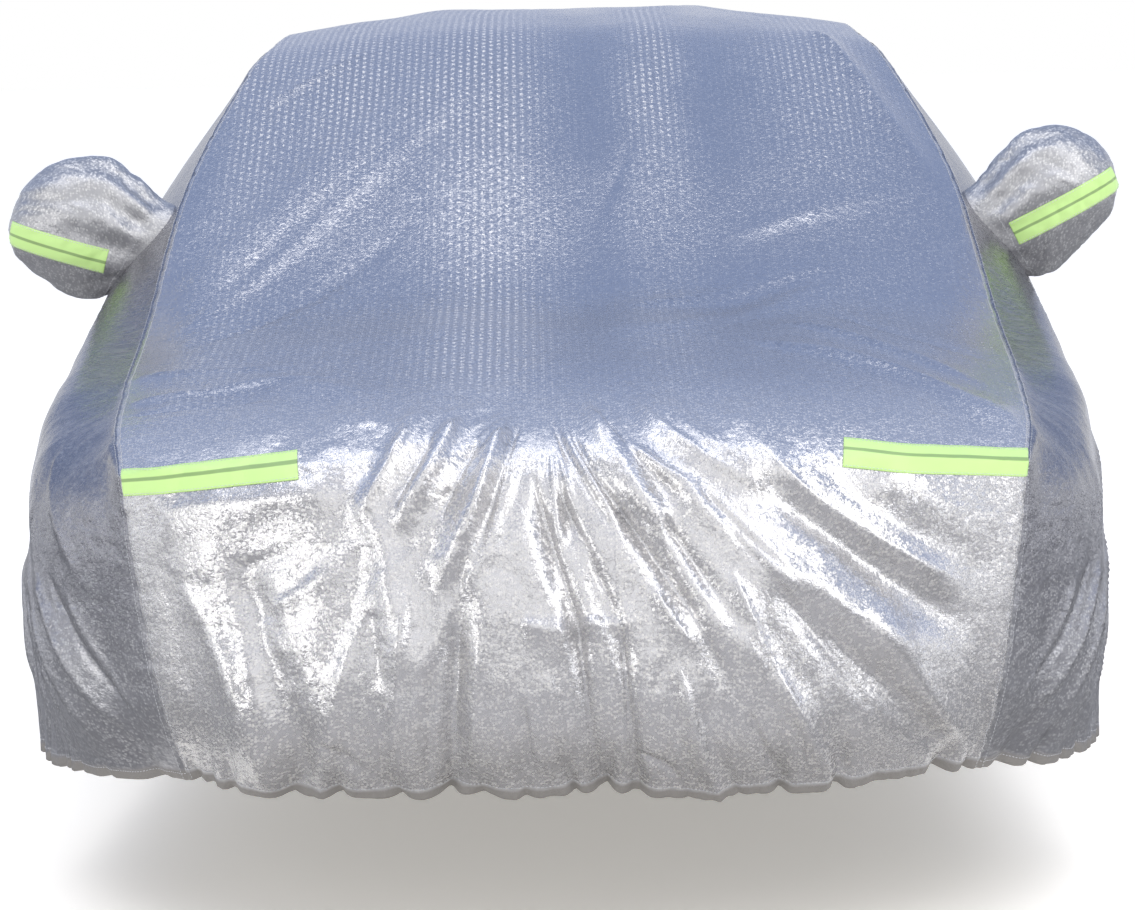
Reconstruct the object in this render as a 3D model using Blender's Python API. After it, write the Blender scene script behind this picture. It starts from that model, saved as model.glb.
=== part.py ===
"""Fitted cover, hollow, in the shape that it has when worn.

The sheet is worked out as one smooth shell over the shape that the cover takes on.
Folds are raised in the shell, and it is then cut along its seams into the panels that
a maker would sew together. Each panel is given the cloth's thickness on its inside.

The tables are in metres in the ground frame: X runs to the right of someone who faces
the nose, Y runs from the nose to the tail, and Z is the height above the ground.
The finished part has its origin at ROOF_MOUNT, on the underside of the roof cloth.
"""
import math
from collections import namedtuple

import bmesh
import bpy
import numpy as np
from mathutils import Vector

# Cloth and sewing
CLOTH_THICKNESS = 0.002
SEAM_GAP = 0.0005
HEM_TURN = 0.022
HEM_TURN_RISE = 0.006
STRIP_THICKNESS = 0.0012
STRIP_CLEARANCE = 0.0004

# The underside of the roof cloth, from which the cover is held
ROOF_MOUNT = Vector((0.0, 2.35, 1.4355))

# Rows of the centre panel from the nose to the tail. steps is the number of rows of
# faces up to the next section. The seam is the edge shared with the side panels. At the
# nose and the tail that edge runs down the end of the side panel, so no row states it.
Section = namedtuple("Section", "name steps centre_y centre_z seam_x seam_y seam_z")
SECTIONS = (
    Section("hem_front", 3, 0.080, 0.285, None, None, None),
    Section("nose_low", 4, 0.000, 0.420, None, None, None),
    Section("nose_mid", 4, 0.020, 0.630, None, None, None),
    Section("hood_lip", 3, 0.105, 0.805, 0.718, 0.285, 0.770),
    Section("hood_front", 3, 0.320, 0.885, 0.738, 0.470, 0.825),
    Section("hood_mid", 3, 0.740, 0.940, 0.750, 0.800, 0.870),
    Section("cowl", 4, 1.130, 0.990, 0.755, 1.200, 0.930),
    Section("glass_mid", 4, 1.580, 1.215, 0.718, 1.660, 1.150),
    Section("header", 3, 2.000, 1.388, 0.635, 2.110, 1.343),
    Section("roof_front", 2, 2.320, 1.437, 0.600, 2.380, 1.392),
    Section("roof_mid", 2, 2.800, 1.450, 0.590, 2.800, 1.405),
    Section("roof_rear", 3, 3.250, 1.420, 0.580, 3.200, 1.372),
    Section("rear_glass", 2, 3.720, 1.255, 0.625, 3.620, 1.190),
    Section("deck", 2, 4.080, 1.065, 0.690, 3.980, 1.005),
    Section("deck_edge", 4, 4.370, 0.990, 0.700, 4.200, 0.915),
    Section("tail_upper", 4, 4.480, 0.800, None, None, None),
    Section("tail_lower", 3, 4.490, 0.500, None, None, None),
    Section("hem_rear", 0, 4.420, 0.285, None, None, None),
)

# The right side panel below its seam, one row for each section that has a seam
Wall = namedtuple("Wall", "name belt_x belt_y belt_z wide_x wide_y wide_z hem_x hem_y hem_z")
WALLS = (
    Wall("hood_lip", 0.694, 0.250, 0.600, 0.664, 0.235, 0.420, 0.630, 0.290, 0.280),
    Wall("hood_front", 0.840, 0.480, 0.700, 0.835, 0.460, 0.480, 0.800, 0.490, 0.255),
    Wall("hood_mid", 0.885, 0.800, 0.790, 0.912, 0.790, 0.540, 0.900, 0.780, 0.230),
    Wall("cowl", 0.878, 1.200, 0.850, 0.912, 1.180, 0.560, 0.900, 1.150, 0.230),
    Wall("glass_mid", 0.872, 1.660, 0.920, 0.905, 1.620, 0.580, 0.885, 1.580, 0.235),
    Wall("header", 0.874, 2.110, 0.960, 0.903, 2.060, 0.590, 0.882, 2.020, 0.240),
    Wall("roof_front", 0.880, 2.400, 0.965, 0.904, 2.380, 0.590, 0.882, 2.350, 0.240),
    Wall("roof_mid", 0.880, 2.800, 0.970, 0.905, 2.800, 0.590, 0.883, 2.800, 0.240),
    Wall("roof_rear", 0.872, 3.220, 0.965, 0.908, 3.250, 0.590, 0.888, 3.280, 0.240),
    Wall("rear_glass", 0.868, 3.640, 0.930, 0.905, 3.680, 0.590, 0.885, 3.700, 0.240),
    Wall("deck", 0.845, 3.980, 0.830, 0.870, 3.990, 0.590, 0.850, 4.000, 0.250),
    Wall("deck_edge", 0.712, 4.290, 0.730, 0.715, 4.310, 0.500, 0.660, 4.260, 0.275),
)

# Height up a side panel of its hem, widest line, belt line and seam, as a share of the
# way. The same shares space the rows of the nose and the tail.
WALL_LEVELS = (0.0, 0.32, 0.62, 1.0)

# Points closer together than this are one
WELD = 0.0001

# Columns across the centre panel lie closer together in the middle, where the folds are
COLUMNS = 40
MIDDLE_SPACING = 0.62

# The centre panel falls away from its middle line to its seams by these powers
SWEEP_POWER = 2.6
CROWN_POWER = 2.4

# The cover is pulled a little to one side at the nose, and lies straight past PULL_END
PULL = 0.066
PULL_HALF_WIDTH = 0.93
PULL_END = 2.5

# Main folds, each a ridge, or a trough where its height is negative, between two points.
# width is the distance from its line at which it has fallen to about a third, and it
# is left out past FOLD_REACH widths. It rises and dies over FOLD_END of its length.
# Folds of the nose lie in X and Z, of the top in X and Y, and of a side in Y and Z.
Fold = namedtuple("Fold", "start_a start_b end_a end_b width height")
FOLD_REACH = 3.0
FOLD_END = 0.25
NOSE_FOLDS = (
    # Left of the middle
    Fold(-0.60, 0.73, -0.37, 0.25, 0.050, 0.018),
    Fold(-0.49, 0.68, -0.36, 0.26, 0.028, -0.015),
    Fold(-0.40, 0.60, -0.31, 0.26, 0.035, 0.008),
    Fold(-0.70, 0.69, -0.24, 0.78, 0.030, 0.009),
    Fold(-0.18, 0.88, -0.30, 0.70, 0.020, 0.013),
    Fold(-0.27, 0.76, -0.21, 0.46, 0.024, 0.012),
    Fold(-0.12, 0.88, -0.24, 0.70, 0.018, 0.013),
    Fold(-0.05, 0.88, -0.17, 0.60, 0.020, 0.016),
    Fold(-0.13, 0.68, -0.16, 0.30, 0.026, -0.014),
    # The fan of sharp folds from the middle of the hood's edge
    Fold(-0.03, 0.79, 0.06, 0.50, 0.018, -0.013),
    Fold(0.00, 0.80, 0.13, 0.48, 0.018, -0.014),
    Fold(0.04, 0.88, 0.20, 0.69, 0.018, 0.014),
    Fold(0.09, 0.77, 0.24, 0.55, 0.018, -0.013),
    Fold(0.16, 0.75, 0.31, 0.52, 0.018, -0.010),
    # Right of the middle
    Fold(0.13, 0.89, 0.36, 0.75, 0.020, 0.013),
    Fold(0.18, 0.79, 0.40, 0.58, 0.020, 0.011),
    Fold(0.28, 0.66, 0.36, 0.30, 0.035, 0.008),
    Fold(0.19, 0.66, 0.43, 0.36, 0.024, 0.009),
    Fold(0.24, 0.86, 0.70, 0.55, 0.026, 0.019),
    Fold(0.48, 0.80, 0.73, 0.63, 0.045, 0.014),
    Fold(0.32, 0.80, 0.68, 0.48, 0.030, -0.019),
    Fold(0.29, 0.68, 0.58, 0.48, 0.028, 0.011),
    Fold(0.48, 0.58, 0.68, 0.28, 0.028, 0.013),
    Fold(0.34, 0.64, 0.65, 0.30, 0.026, -0.014),
)
TOP_FOLDS = (
    # Soft lengthwise waves of the hood, the windscreen and the roof
    Fold(-0.16, 0.50, -0.20, 2.45, 0.070, 0.009),
    Fold(0.03, 0.55, 0.02, 2.45, 0.060, -0.008),
    Fold(0.13, 0.55, 0.14, 2.40, 0.045, 0.007),
    Fold(0.29, 0.60, 0.32, 2.40, 0.070, -0.009),
    Fold(0.46, 0.65, 0.50, 2.30, 0.080, 0.007),
    Fold(-0.26, 2.55, -0.32, 4.10, 0.080, 0.008),
    Fold(0.00, 2.70, 0.04, 4.20, 0.070, -0.008),
    Fold(0.24, 2.60, 0.32, 4.10, 0.080, 0.008),
    # Slanting pulls towards the pockets and the corners
    Fold(-0.72, 1.20, -0.18, 1.95, 0.040, 0.009),
    Fold(0.10, 0.70, 0.64, 1.34, 0.040, 0.009),
    Fold(0.46, 2.32, 0.70, 1.48, 0.040, 0.008),
    Fold(-0.76, 0.84, -0.26, 0.34, 0.040, 0.008),
    Fold(0.34, 0.76, 0.78, 0.34, 0.040, 0.009),
    Fold(-0.66, 3.90, -0.16, 3.00, 0.050, 0.008),
    Fold(0.64, 3.80, 0.12, 3.05, 0.050, 0.008),
)
# Both sides fall in soft folds from the belt line, and pull away below the pocket
SIDE_FOLDS = (
    Fold(1.66, 1.00, 1.30, 0.30, 0.070, 0.010),
    Fold(1.74, 0.98, 2.10, 0.34, 0.070, -0.009),
    Fold(2.30, 1.00, 2.42, 0.18, 0.090, 0.010),
    Fold(2.66, 1.05, 2.70, 0.18, 0.080, -0.008),
    Fold(3.02, 1.08, 2.98, 0.18, 0.090, 0.010),
    Fold(3.42, 1.05, 3.50, 0.18, 0.080, -0.009),
    Fold(3.74, 0.95, 3.92, 0.20, 0.090, 0.010),
)
LEFT_FOLDS = SIDE_FOLDS + (
    Fold(0.66, 0.84, 0.34, 0.24, 0.060, 0.014),
    Fold(0.86, 0.78, 0.58, 0.20, 0.060, -0.010),
    Fold(1.06, 0.86, 0.88, 0.18, 0.070, 0.011),
)
RIGHT_FOLDS = SIDE_FOLDS + (
    Fold(0.60, 0.80, 0.40, 0.22, 0.060, 0.012),
    Fold(0.80, 0.84, 0.66, 0.20, 0.060, -0.011),
    Fold(1.02, 0.82, 0.94, 0.18, 0.070, 0.011),
)
TAIL_FOLDS = (
    Fold(-0.08, 1.02, -0.26, 0.24, 0.045, 0.011),
    Fold(0.06, 1.00, 0.10, 0.24, 0.040, -0.010),
    Fold(0.12, 1.02, 0.34, 0.24, 0.045, 0.011),
    Fold(-0.28, 0.98, -0.62, 0.30, 0.045, 0.012),
    Fold(0.30, 0.98, 0.62, 0.30, 0.045, 0.012),
)

# Where the folds of the nose end and those of the tail begin, along Y
NOSE_END = 0.9
TAIL_START = 4.0

# Folds of the sides and of the top come in as the sheet turns to face that way: the
# X or Z of its normal at which they start, and at which they are full
SIDE_FACING = (0.45, 0.75)
TOP_FACING = (0.30, 0.60)

# The elastic draws the hem in between every second column of the sheet
GATHER_DEPTH = 0.005
GATHER_HEIGHT = 0.10

# A mirror pocket is a pouch of oval rings, from its mouth inside the side panel to its
# tip. A ring's plane follows the wall: it leans in by tilt for each metre of height, and
# out by lean for each metre back. One pocket stands up more than the other: its rings
# rise by POCKET_RISE for each metre outwards.
Ring = namedtuple("Ring", "out centre_z half_y half_z tilt lean")
POCKET_RINGS = (
    Ring(0.792, 1.030, 0.076, 0.080, 0.72, 0.20),
    Ring(0.826, 1.038, 0.084, 0.092, 0.58, 0.15),
    Ring(0.856, 1.056, 0.094, 0.112, 0.38, 0.08),
    Ring(0.888, 1.073, 0.100, 0.128, 0.24, 0.04),
    Ring(0.930, 1.082, 0.098, 0.124, 0.14, 0.0),
    Ring(0.970, 1.084, 0.088, 0.106, 0.06, 0.0),
    Ring(1.005, 1.080, 0.070, 0.080, 0.0, 0.0),
    Ring(1.030, 1.073, 0.042, 0.046, 0.0, 0.0),
)
POCKET_TIP = 1.042
POCKET_Y = 1.650
POCKET_SIDES = 24
POCKET_CLEARANCE = 0.0005
POCKET_RISE = {"left": 0.0, "right": 0.19}

# Reflective strips, seen from the front: the X and Z of both ends of the middle line, from
# the outer end to the inner one. The strips of the pockets end half-way round them.
Strip = namedtuple("Strip", "name x_a z_a x_b z_b width")
HOOD_STRIPS = (
    Strip("strip_hood_left", -0.674, 0.758, -0.386, 0.798, 0.040),
    Strip("strip_hood_right", 0.752, 0.765, 0.457, 0.802, 0.040),
)
POCKET_STRIPS = (
    Strip("strip_mirror_left", -1.034, 1.070, -0.850, 1.016, 0.046),
    Strip("strip_mirror_right", 1.034, 1.136, 0.840, 1.038, 0.046),
)

# Finish of each kind of piece: base colour, roughness, metallic
Finish = namedtuple("Finish", "colour roughness metallic")
SILVER_CLOTH = Finish((0.52, 0.54, 0.58), 0.38, 0.85)
SIDE_CLOTH = Finish((0.47, 0.49, 0.53), 0.40, 0.85)
REFLECTIVE_TAPE = Finish((0.62, 0.86, 0.28), 0.30, 0.0)

# Edges that turn by more than this stay sharp
SHARP_ANGLE = 50.0

CENTRE, LEFT, RIGHT = 0, 1, 2
FIRST_SEAM = next(i for i, row in enumerate(SECTIONS) if row.seam_x is not None)
LAST_SEAM = FIRST_SEAM + len(WALLS) - 1


def smoothstep(low, high, value):
    """0 below low, 1 above high, and a smooth rise between."""
    share = min(max((value - low) / (high - low), 0.0), 1.0)
    return share * share * (3.0 - 2.0 * share)


def through(knots, values, at):
    """A point on the smooth curve that passes through the values at the knots."""
    values = np.asarray(values, dtype=float)
    slopes = np.gradient(values, knots, axis=0)
    i = int(np.clip(np.searchsorted(knots, at, side="right") - 1, 0, len(knots) - 2))
    span = knots[i + 1] - knots[i]
    u = (at - knots[i]) / span
    return (
        (1 + 2 * u) * (1 - u) ** 2 * values[i]
        + u * (1 - u) ** 2 * span * slopes[i]
        + u * u * (3 - 2 * u) * values[i + 1]
        + u * u * (u - 1) * span * slopes[i + 1]
    )


CENTRE_LINE = [(row.centre_y, row.centre_z) for row in SECTIONS]
SEAM_LINE = [(row.seam_x, row.seam_y, row.seam_z) for row in SECTIONS[FIRST_SEAM:LAST_SEAM + 1]]
BELT_LINE = [(row.belt_x, row.belt_y, row.belt_z) for row in WALLS]
WIDE_LINE = [(row.wide_x, row.wide_y, row.wide_z) for row in WALLS]
HEM_LINE = [(row.hem_x, row.hem_y, row.hem_z) for row in WALLS]


def wall_point(station, level):
    """A point of the right wall: station counts the sections, level runs hem to seam."""
    knots = range(FIRST_SEAM, LAST_SEAM + 1)
    lines = (HEM_LINE, WIDE_LINE, BELT_LINE, SEAM_LINE)
    return through(WALL_LEVELS, [through(knots, line, station) for line in lines], level)


def level_at(sections_from_hem):
    """The level up the end of a side panel that meets a row of the nose or the tail."""
    return np.interp(sections_from_hem, range(len(WALL_LEVELS)), WALL_LEVELS)


def seam_point(station):
    """The right edge of the centre panel at a station."""
    if station < FIRST_SEAM:
        return wall_point(FIRST_SEAM, level_at(station))
    if station > LAST_SEAM:
        return wall_point(LAST_SEAM, level_at(len(SECTIONS) - 1 - station))
    return wall_point(station, 1.0)


def centre_point(station, across):
    """A point of the centre panel; across runs from -1 at the left seam to 1 at the right."""
    centre_y, centre_z = through(range(len(SECTIONS)), CENTRE_LINE, station)
    seam_x, seam_y, seam_z = seam_point(station)
    sweep = abs(across) ** SWEEP_POWER
    crown = abs(across) ** CROWN_POWER
    return (
        seam_x * across,
        centre_y + (seam_y - centre_y) * sweep,
        centre_z + (seam_z - centre_z) * crown,
    )


def pulled(place):
    """The place with the pull to one side added."""
    x, y, z = place
    share = math.sqrt(max(0.0, 1.0 - (x / PULL_HALF_WIDTH) ** 2))
    return Vector((x + PULL * share * max(0.0, 1.0 - y / PULL_END), y, z))


def fold_height(folds, a, b):
    """Height of the folds of one table at a point of their plane."""
    height = 0.0
    for fold in folds:
        run_a, run_b = fold.end_a - fold.start_a, fold.end_b - fold.start_b
        length = math.hypot(run_a, run_b)
        from_a, from_b = a - fold.start_a, b - fold.start_b
        along = (from_a * run_a + from_b * run_b) / length ** 2
        aside = (from_a * run_b - from_b * run_a) / length
        if 0.0 < along < 1.0 and abs(aside) < FOLD_REACH * fold.width:
            ends = smoothstep(0.0, FOLD_END, along) * smoothstep(1.0, 1.0 - FOLD_END, along)
            height += fold.height * ends * math.exp(-(aside / fold.width) ** 2)
    return height


def lift(place, normal):
    """How far the folds raise the sheet at a place."""
    x, y, z = place
    sideways = smoothstep(*SIDE_FACING, abs(normal.x))
    side_folds = LEFT_FOLDS if x < 0 else RIGHT_FOLDS
    height = sideways * fold_height(side_folds, y, z)
    if y < NOSE_END:
        height += (1.0 - sideways) * fold_height(NOSE_FOLDS, x, z)
    if y > TAIL_START:
        height += (1.0 - sideways) * fold_height(TAIL_FOLDS, x, z)
    return height + smoothstep(*TOP_FACING, normal.z) * fold_height(TOP_FOLDS, x, y)


def add_rows(bm, rows, panel):
    """Faces between the rows of places, with every second column marked for the gathers."""
    gather = bm.verts.layers.float["gather"]
    verts = [[bm.verts.new(place) for place in row] for row in rows]
    for row in verts:
        for vert in row[::2]:
            vert[gather] = 1.0
    for low, high in zip(verts, verts[1:]):
        for corners in zip(low, low[1:], high[1:], high):
            bm.faces.new(corners).material_index = panel


def stations():
    """Where the rows of the sheet lie, counted in sections."""
    places = []
    for index, row in enumerate(SECTIONS[:-1]):
        places += [index + step / row.steps for step in range(row.steps)]
    return places + [len(SECTIONS) - 1.0]


def across_places():
    """Where the columns of the centre panel lie, from seam to seam."""
    even = np.linspace(-1.0, 1.0, COLUMNS + 1)
    return MIDDLE_SPACING * even + (1.0 - MIDDLE_SPACING) * even ** 3


def turn_hem(bm):
    """A narrow turn of cloth, inwards and a little up, all along the hem."""
    bm.normal_update()
    edges = [edge for edge in bm.edges if edge.is_boundary]
    panels = {edge: edge.link_faces[0].material_index for edge in edges}
    outward = {vert: vert.normal.copy() for edge in edges for vert in edge.verts}
    origin = {tuple(vert.co): vert for vert in outward}
    extruded = bmesh.ops.extrude_edge_only(bm, edges=edges)["geom"]
    for edge, panel in panels.items():
        for face in edge.link_faces:
            if face in extruded:
                face.material_index = panel
    for vert in (item for item in extruded if isinstance(item, bmesh.types.BMVert)):
        level = outward[origin[tuple(vert.co)]] * Vector((1.0, 1.0, 0.0))
        vert.co += Vector((0.0, 0.0, HEM_TURN_RISE)) - level.normalized() * HEM_TURN


def build_shell():
    """The whole sheet, folds and turned hem included, as one surface of triangles."""
    bm = bmesh.new()
    bm.verts.layers.float.new("gather")
    rows = stations()
    columns = across_places()
    add_rows(bm, [[centre_point(row, place) for place in columns] for row in rows], CENTRE)
    levels = [level_at(row) for row in rows if row <= FIRST_SEAM]
    ends = [row for row in rows if FIRST_SEAM <= row <= LAST_SEAM]
    for panel, side in ((RIGHT, 1), (LEFT, -1)):
        walls = [[wall_point(end, level) * (side, 1, 1) for end in ends[::side]] for level in levels]
        add_rows(bm, walls, panel)
    bmesh.ops.remove_doubles(bm, verts=bm.verts, dist=WELD)
    for vert in bm.verts:
        vert.co = pulled(vert.co)
    bm.normal_update()
    gather = bm.verts.layers.float["gather"]
    hem_y = [row.hem_y for row in WALLS]
    hem_z = [row.hem_z for row in WALLS]
    for vert in bm.verts:
        above_hem = vert.co.z - np.interp(vert.co.y, hem_y, hem_z)
        drawn_in = vert[gather] * GATHER_DEPTH * smoothstep(GATHER_HEIGHT, 0.0, above_hem)
        vert.co += vert.normal * (lift(vert.co, vert.normal) - drawn_in)
    turn_hem(bm)
    bmesh.ops.triangulate(bm, faces=bm.faces, quad_method="SHORT_EDGE")
    bmesh.ops.recalc_face_normals(bm, faces=bm.faces)
    bm.normal_update()
    outward = bm.verts.layers.float_vector.new("outward")
    seam = bm.verts.layers.int.new("seam")
    for vert in bm.verts:
        vert[outward] = vert.normal
        vert[seam] = len({face.material_index for face in vert.link_faces}) > 1
    return bm


def thicken(bm, thickness, outward=None):
    """A closed solid from an open sheet, with the thickness added on the back of it."""
    bm.normal_update()
    steps = [(vert[outward] if outward else vert.normal) * thickness for vert in bm.verts]
    by_place = {tuple(vert.co): step.copy() for vert, step in zip(bm.verts, steps)}
    extruded = bmesh.ops.extrude_face_region(bm, geom=bm.faces[:])["geom"]
    for vert in (item for item in extruded if isinstance(item, bmesh.types.BMVert)):
        vert.co -= by_place[tuple(vert.co)]
    bmesh.ops.recalc_face_normals(bm, faces=bm.faces)


def panel_surface(shell, panel):
    """The outer surface of one panel of the shell."""
    bm = shell.copy()
    others = [face for face in bm.faces if face.material_index != panel]
    bmesh.ops.delete(bm, geom=others, context="FACES")
    return bm


def panel_of(shell, panel):
    """One panel of the shell, drawn back from its seams and made as thick as the cloth."""
    bm = panel_surface(shell, panel)
    outward = bm.verts.layers.float_vector["outward"]
    seam = bm.verts.layers.int["seam"]
    steps = []
    for vert in (vert for vert in bm.verts if vert[seam]):
        middles = [face.calc_center_median() for face in vert.link_faces]
        step = sum(middles, Vector()) / len(middles) - vert.co
        step -= step.project(vert[outward])
        steps.append((vert, step.normalized() * SEAM_GAP / 2))
    for vert, step in steps:
        vert.co += step
    thicken(bm, CLOTH_THICKNESS, outward)
    return bm


def pocket_sheet(side, rise, grow=0.0):
    """The outer surface of a mirror pocket; grow widens it all round for its opening."""
    bm = bmesh.new()
    rings = []
    for ring in POCKET_RINGS:
        lifted = ring.centre_z + rise * (ring.out - POCKET_RINGS[0].out)
        verts = []
        for step in range(POCKET_SIDES):
            turn = 2.0 * math.pi * step / POCKET_SIDES
            up = (ring.half_z + grow) * math.sin(turn)
            back = (ring.half_y + grow) * math.cos(turn)
            out = ring.out - ring.tilt * up + ring.lean * back
            verts.append(bm.verts.new(pulled((side * out, POCKET_Y + back, lifted + up))))
        rings.append(verts)
    for inner, outer in zip(rings, rings[1:]):
        for step in range(POCKET_SIDES):
            after = (step + 1) % POCKET_SIDES
            bm.faces.new((inner[step], inner[after], outer[after], outer[step]))
    tip_z = POCKET_RINGS[-1].centre_z + rise * (POCKET_TIP - POCKET_RINGS[0].out)
    tip = bm.verts.new(pulled((side * (POCKET_TIP + grow), POCKET_Y, tip_z)))
    for step in range(POCKET_SIDES):
        bm.faces.new((rings[-1][step], rings[-1][(step + 1) % POCKET_SIDES], tip))
    bmesh.ops.triangulate(bm, faces=bm.faces, quad_method="SHORT_EDGE")
    bmesh.ops.recalc_face_normals(bm, faces=bm.faces)
    return bm


def strip_on(surface, strip, front_of):
    """A band of tape on a surface, cut to the strip's lines and laid just over the cloth."""
    bm = surface.copy()
    start = Vector((strip.x_a, 0.0, strip.z_a))
    run = Vector((strip.x_b, 0.0, strip.z_b)) - start
    aside = Vector((-run.z, 0.0, run.x)).normalized() * strip.width / 2
    cuts = (
        (start, -run),
        (start + run, run),
        (start + aside, aside),
        (start - aside, -aside),
        (Vector((0.0, front_of, 0.0)), Vector((0.0, 1.0, 0.0))),
    )
    for place, away in cuts:
        geometry = bm.verts[:] + bm.edges[:] + bm.faces[:]
        bmesh.ops.bisect_plane(bm, geom=geometry, plane_co=place, plane_no=away, clear_outer=True)
    bmesh.ops.triangulate(bm, faces=bm.faces)
    bm.normal_update()
    tape_out = bm.verts.layers.float_vector.new("tape_out")
    for vert in bm.verts:
        vert[tape_out] = vert.normal
        vert.co += vert.normal * (STRIP_CLEARANCE + STRIP_THICKNESS)
    thicken(bm, STRIP_THICKNESS, tape_out)
    return bm


def new_material(name, finish):
    """A plain material with the finish's colour, roughness and metallic value."""
    material = bpy.data.materials.new(name)
    material.use_nodes = True
    shader = material.node_tree.nodes["Principled BSDF"]
    shader.inputs["Base Color"].default_value = (*finish.colour, 1.0)
    shader.inputs["Roughness"].default_value = finish.roughness
    shader.inputs["Metallic"].default_value = finish.metallic
    return material


def add_object(name, bm, finish, frame):
    """The finished mesh as an object in the frame, shaded smooth but for its rims."""
    mesh = bpy.data.meshes.new(name)
    for face in bm.faces:
        face.material_index = 0
    bm.to_mesh(mesh)
    bm.free()
    mesh.shade_smooth()
    mesh.set_sharp_from_angle(angle=math.radians(SHARP_ANGLE))
    mesh.materials.append(new_material(name, finish))
    piece = bpy.data.objects.new(name, mesh)
    piece.parent = frame
    bpy.context.scene.collection.objects.link(piece)
    return piece


def add_opening(panel, cutter_mesh, frame):
    """The opening of a side panel that the mirror pocket passes through."""
    ends = [edge for edge in cutter_mesh.edges if edge.is_boundary]
    bmesh.ops.holes_fill(cutter_mesh, edges=ends)
    bmesh.ops.recalc_face_normals(cutter_mesh, faces=cutter_mesh.faces)
    cutter = add_object(panel.name + "_cutter", cutter_mesh, SIDE_CLOTH, frame)
    cutter.hide_render = True
    cutter.display_type = "WIRE"
    cut = panel.modifiers.new("pocket_opening", "BOOLEAN")
    cut.operation = "DIFFERENCE"
    cut.object = cutter


def build():
    """All the pieces of the cover."""
    for old in list(bpy.data.objects):
        bpy.data.objects.remove(old)
    frame = bpy.data.objects.new("cover", None)
    frame.location = -ROOF_MOUNT
    bpy.context.scene.collection.objects.link(frame)

    shell = build_shell()
    add_object("centre_panel", panel_of(shell, CENTRE), SILVER_CLOTH, frame)
    for strip in HOOD_STRIPS:
        tape = strip_on(panel_surface(shell, CENTRE), strip, NOSE_END)
        add_object(strip.name, tape, REFLECTIVE_TAPE, frame)

    sides = (("left", LEFT, -1), ("right", RIGHT, 1))
    for (name, panel, side), strip in zip(sides, POCKET_STRIPS):
        rise = POCKET_RISE[name]
        side_panel = add_object(f"side_panel_{name}", panel_of(shell, panel), SIDE_CLOTH, frame)
        add_opening(side_panel, pocket_sheet(side, rise, POCKET_CLEARANCE), frame)
        pouch = pocket_sheet(side, rise)
        tape = strip_on(pouch, strip, POCKET_Y)
        add_object(strip.name, tape, REFLECTIVE_TAPE, frame)
        thicken(pouch, CLOTH_THICKNESS)
        add_object(f"mirror_pocket_{name}", pouch, SILVER_CLOTH, frame)
    shell.free()


build()
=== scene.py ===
"""The looks of a fitted car cover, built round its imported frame.

The cover is sewn from silver film cloth: a middle panel, two side panels and two mirror
pockets, with reflective tape at the front. Each sheet is made again here, finer than its
solid, on the same shape and main folds. Tables are in metres in the ground frame:
X to the right of someone who faces the nose, Y from the nose to the tail, Z above ground.
"""
import math
from collections import namedtuple

import bpy
import numpy as np
from mathutils import Matrix, Vector
from mathutils.bvhtree import BVHTree


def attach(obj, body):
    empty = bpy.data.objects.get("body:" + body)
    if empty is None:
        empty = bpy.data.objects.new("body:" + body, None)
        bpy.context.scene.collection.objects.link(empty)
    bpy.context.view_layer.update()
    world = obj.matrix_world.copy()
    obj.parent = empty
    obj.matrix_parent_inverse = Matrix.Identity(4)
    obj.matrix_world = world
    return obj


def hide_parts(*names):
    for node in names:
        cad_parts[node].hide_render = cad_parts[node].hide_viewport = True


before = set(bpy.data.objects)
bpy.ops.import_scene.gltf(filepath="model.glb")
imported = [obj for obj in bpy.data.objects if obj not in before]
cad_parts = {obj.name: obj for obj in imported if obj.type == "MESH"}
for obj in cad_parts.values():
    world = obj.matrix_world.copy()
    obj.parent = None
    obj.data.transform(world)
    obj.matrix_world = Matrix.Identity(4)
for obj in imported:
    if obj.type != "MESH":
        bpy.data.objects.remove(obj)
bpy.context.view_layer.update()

# The ground frame's place of the row frame's origin, under the highest cloth
ROOF_MOUNT = np.array([0.0, 2.35, 1.4355])

# ---------------------------------------------------------------- camera

CAMERA_PLACE = (0.165, -6.5, 1.6)
CAMERA_DOWN = math.radians(6.8)
CAMERA_TO_LEFT = math.radians(1.15)
CAMERA_ROLL = math.radians(-1.1)
CAMERA_LENS_MM = 137.7
SENSOR_MM = 36.0


def add_camera():
    """The camera at the photograph's place, low in front of the nose."""
    yaw, pitch = -CAMERA_TO_LEFT, CAMERA_DOWN
    ahead = Vector((math.sin(yaw) * math.cos(pitch), math.cos(yaw) * math.cos(pitch), -math.sin(pitch)))
    right = Vector((math.cos(yaw), -math.sin(yaw), 0.0))
    up = right.cross(ahead)
    turned_right = math.cos(CAMERA_ROLL) * right + math.sin(CAMERA_ROLL) * up
    turned_up = -math.sin(CAMERA_ROLL) * right + math.cos(CAMERA_ROLL) * up
    data = bpy.data.cameras.new("camera")
    data.lens = CAMERA_LENS_MM
    data.sensor_width = SENSOR_MM
    data.sensor_fit = "HORIZONTAL"
    data.clip_end = 200.0
    camera = bpy.data.objects.new("camera", data)
    place = Vector(CAMERA_PLACE) - Vector(ROOF_MOUNT)
    axes = Matrix((turned_right, turned_up, -ahead)).transposed()
    camera.matrix_world = Matrix.Translation(place) @ axes.to_4x4()
    bpy.context.scene.collection.objects.link(camera)
    bpy.context.scene.camera = camera


# ---------------------------------------------------------------- the cover's shape


def table(kind, rows):
    """The rows of a table, each as a kind of named values."""
    return tuple(kind(*row) for row in rows)


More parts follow.
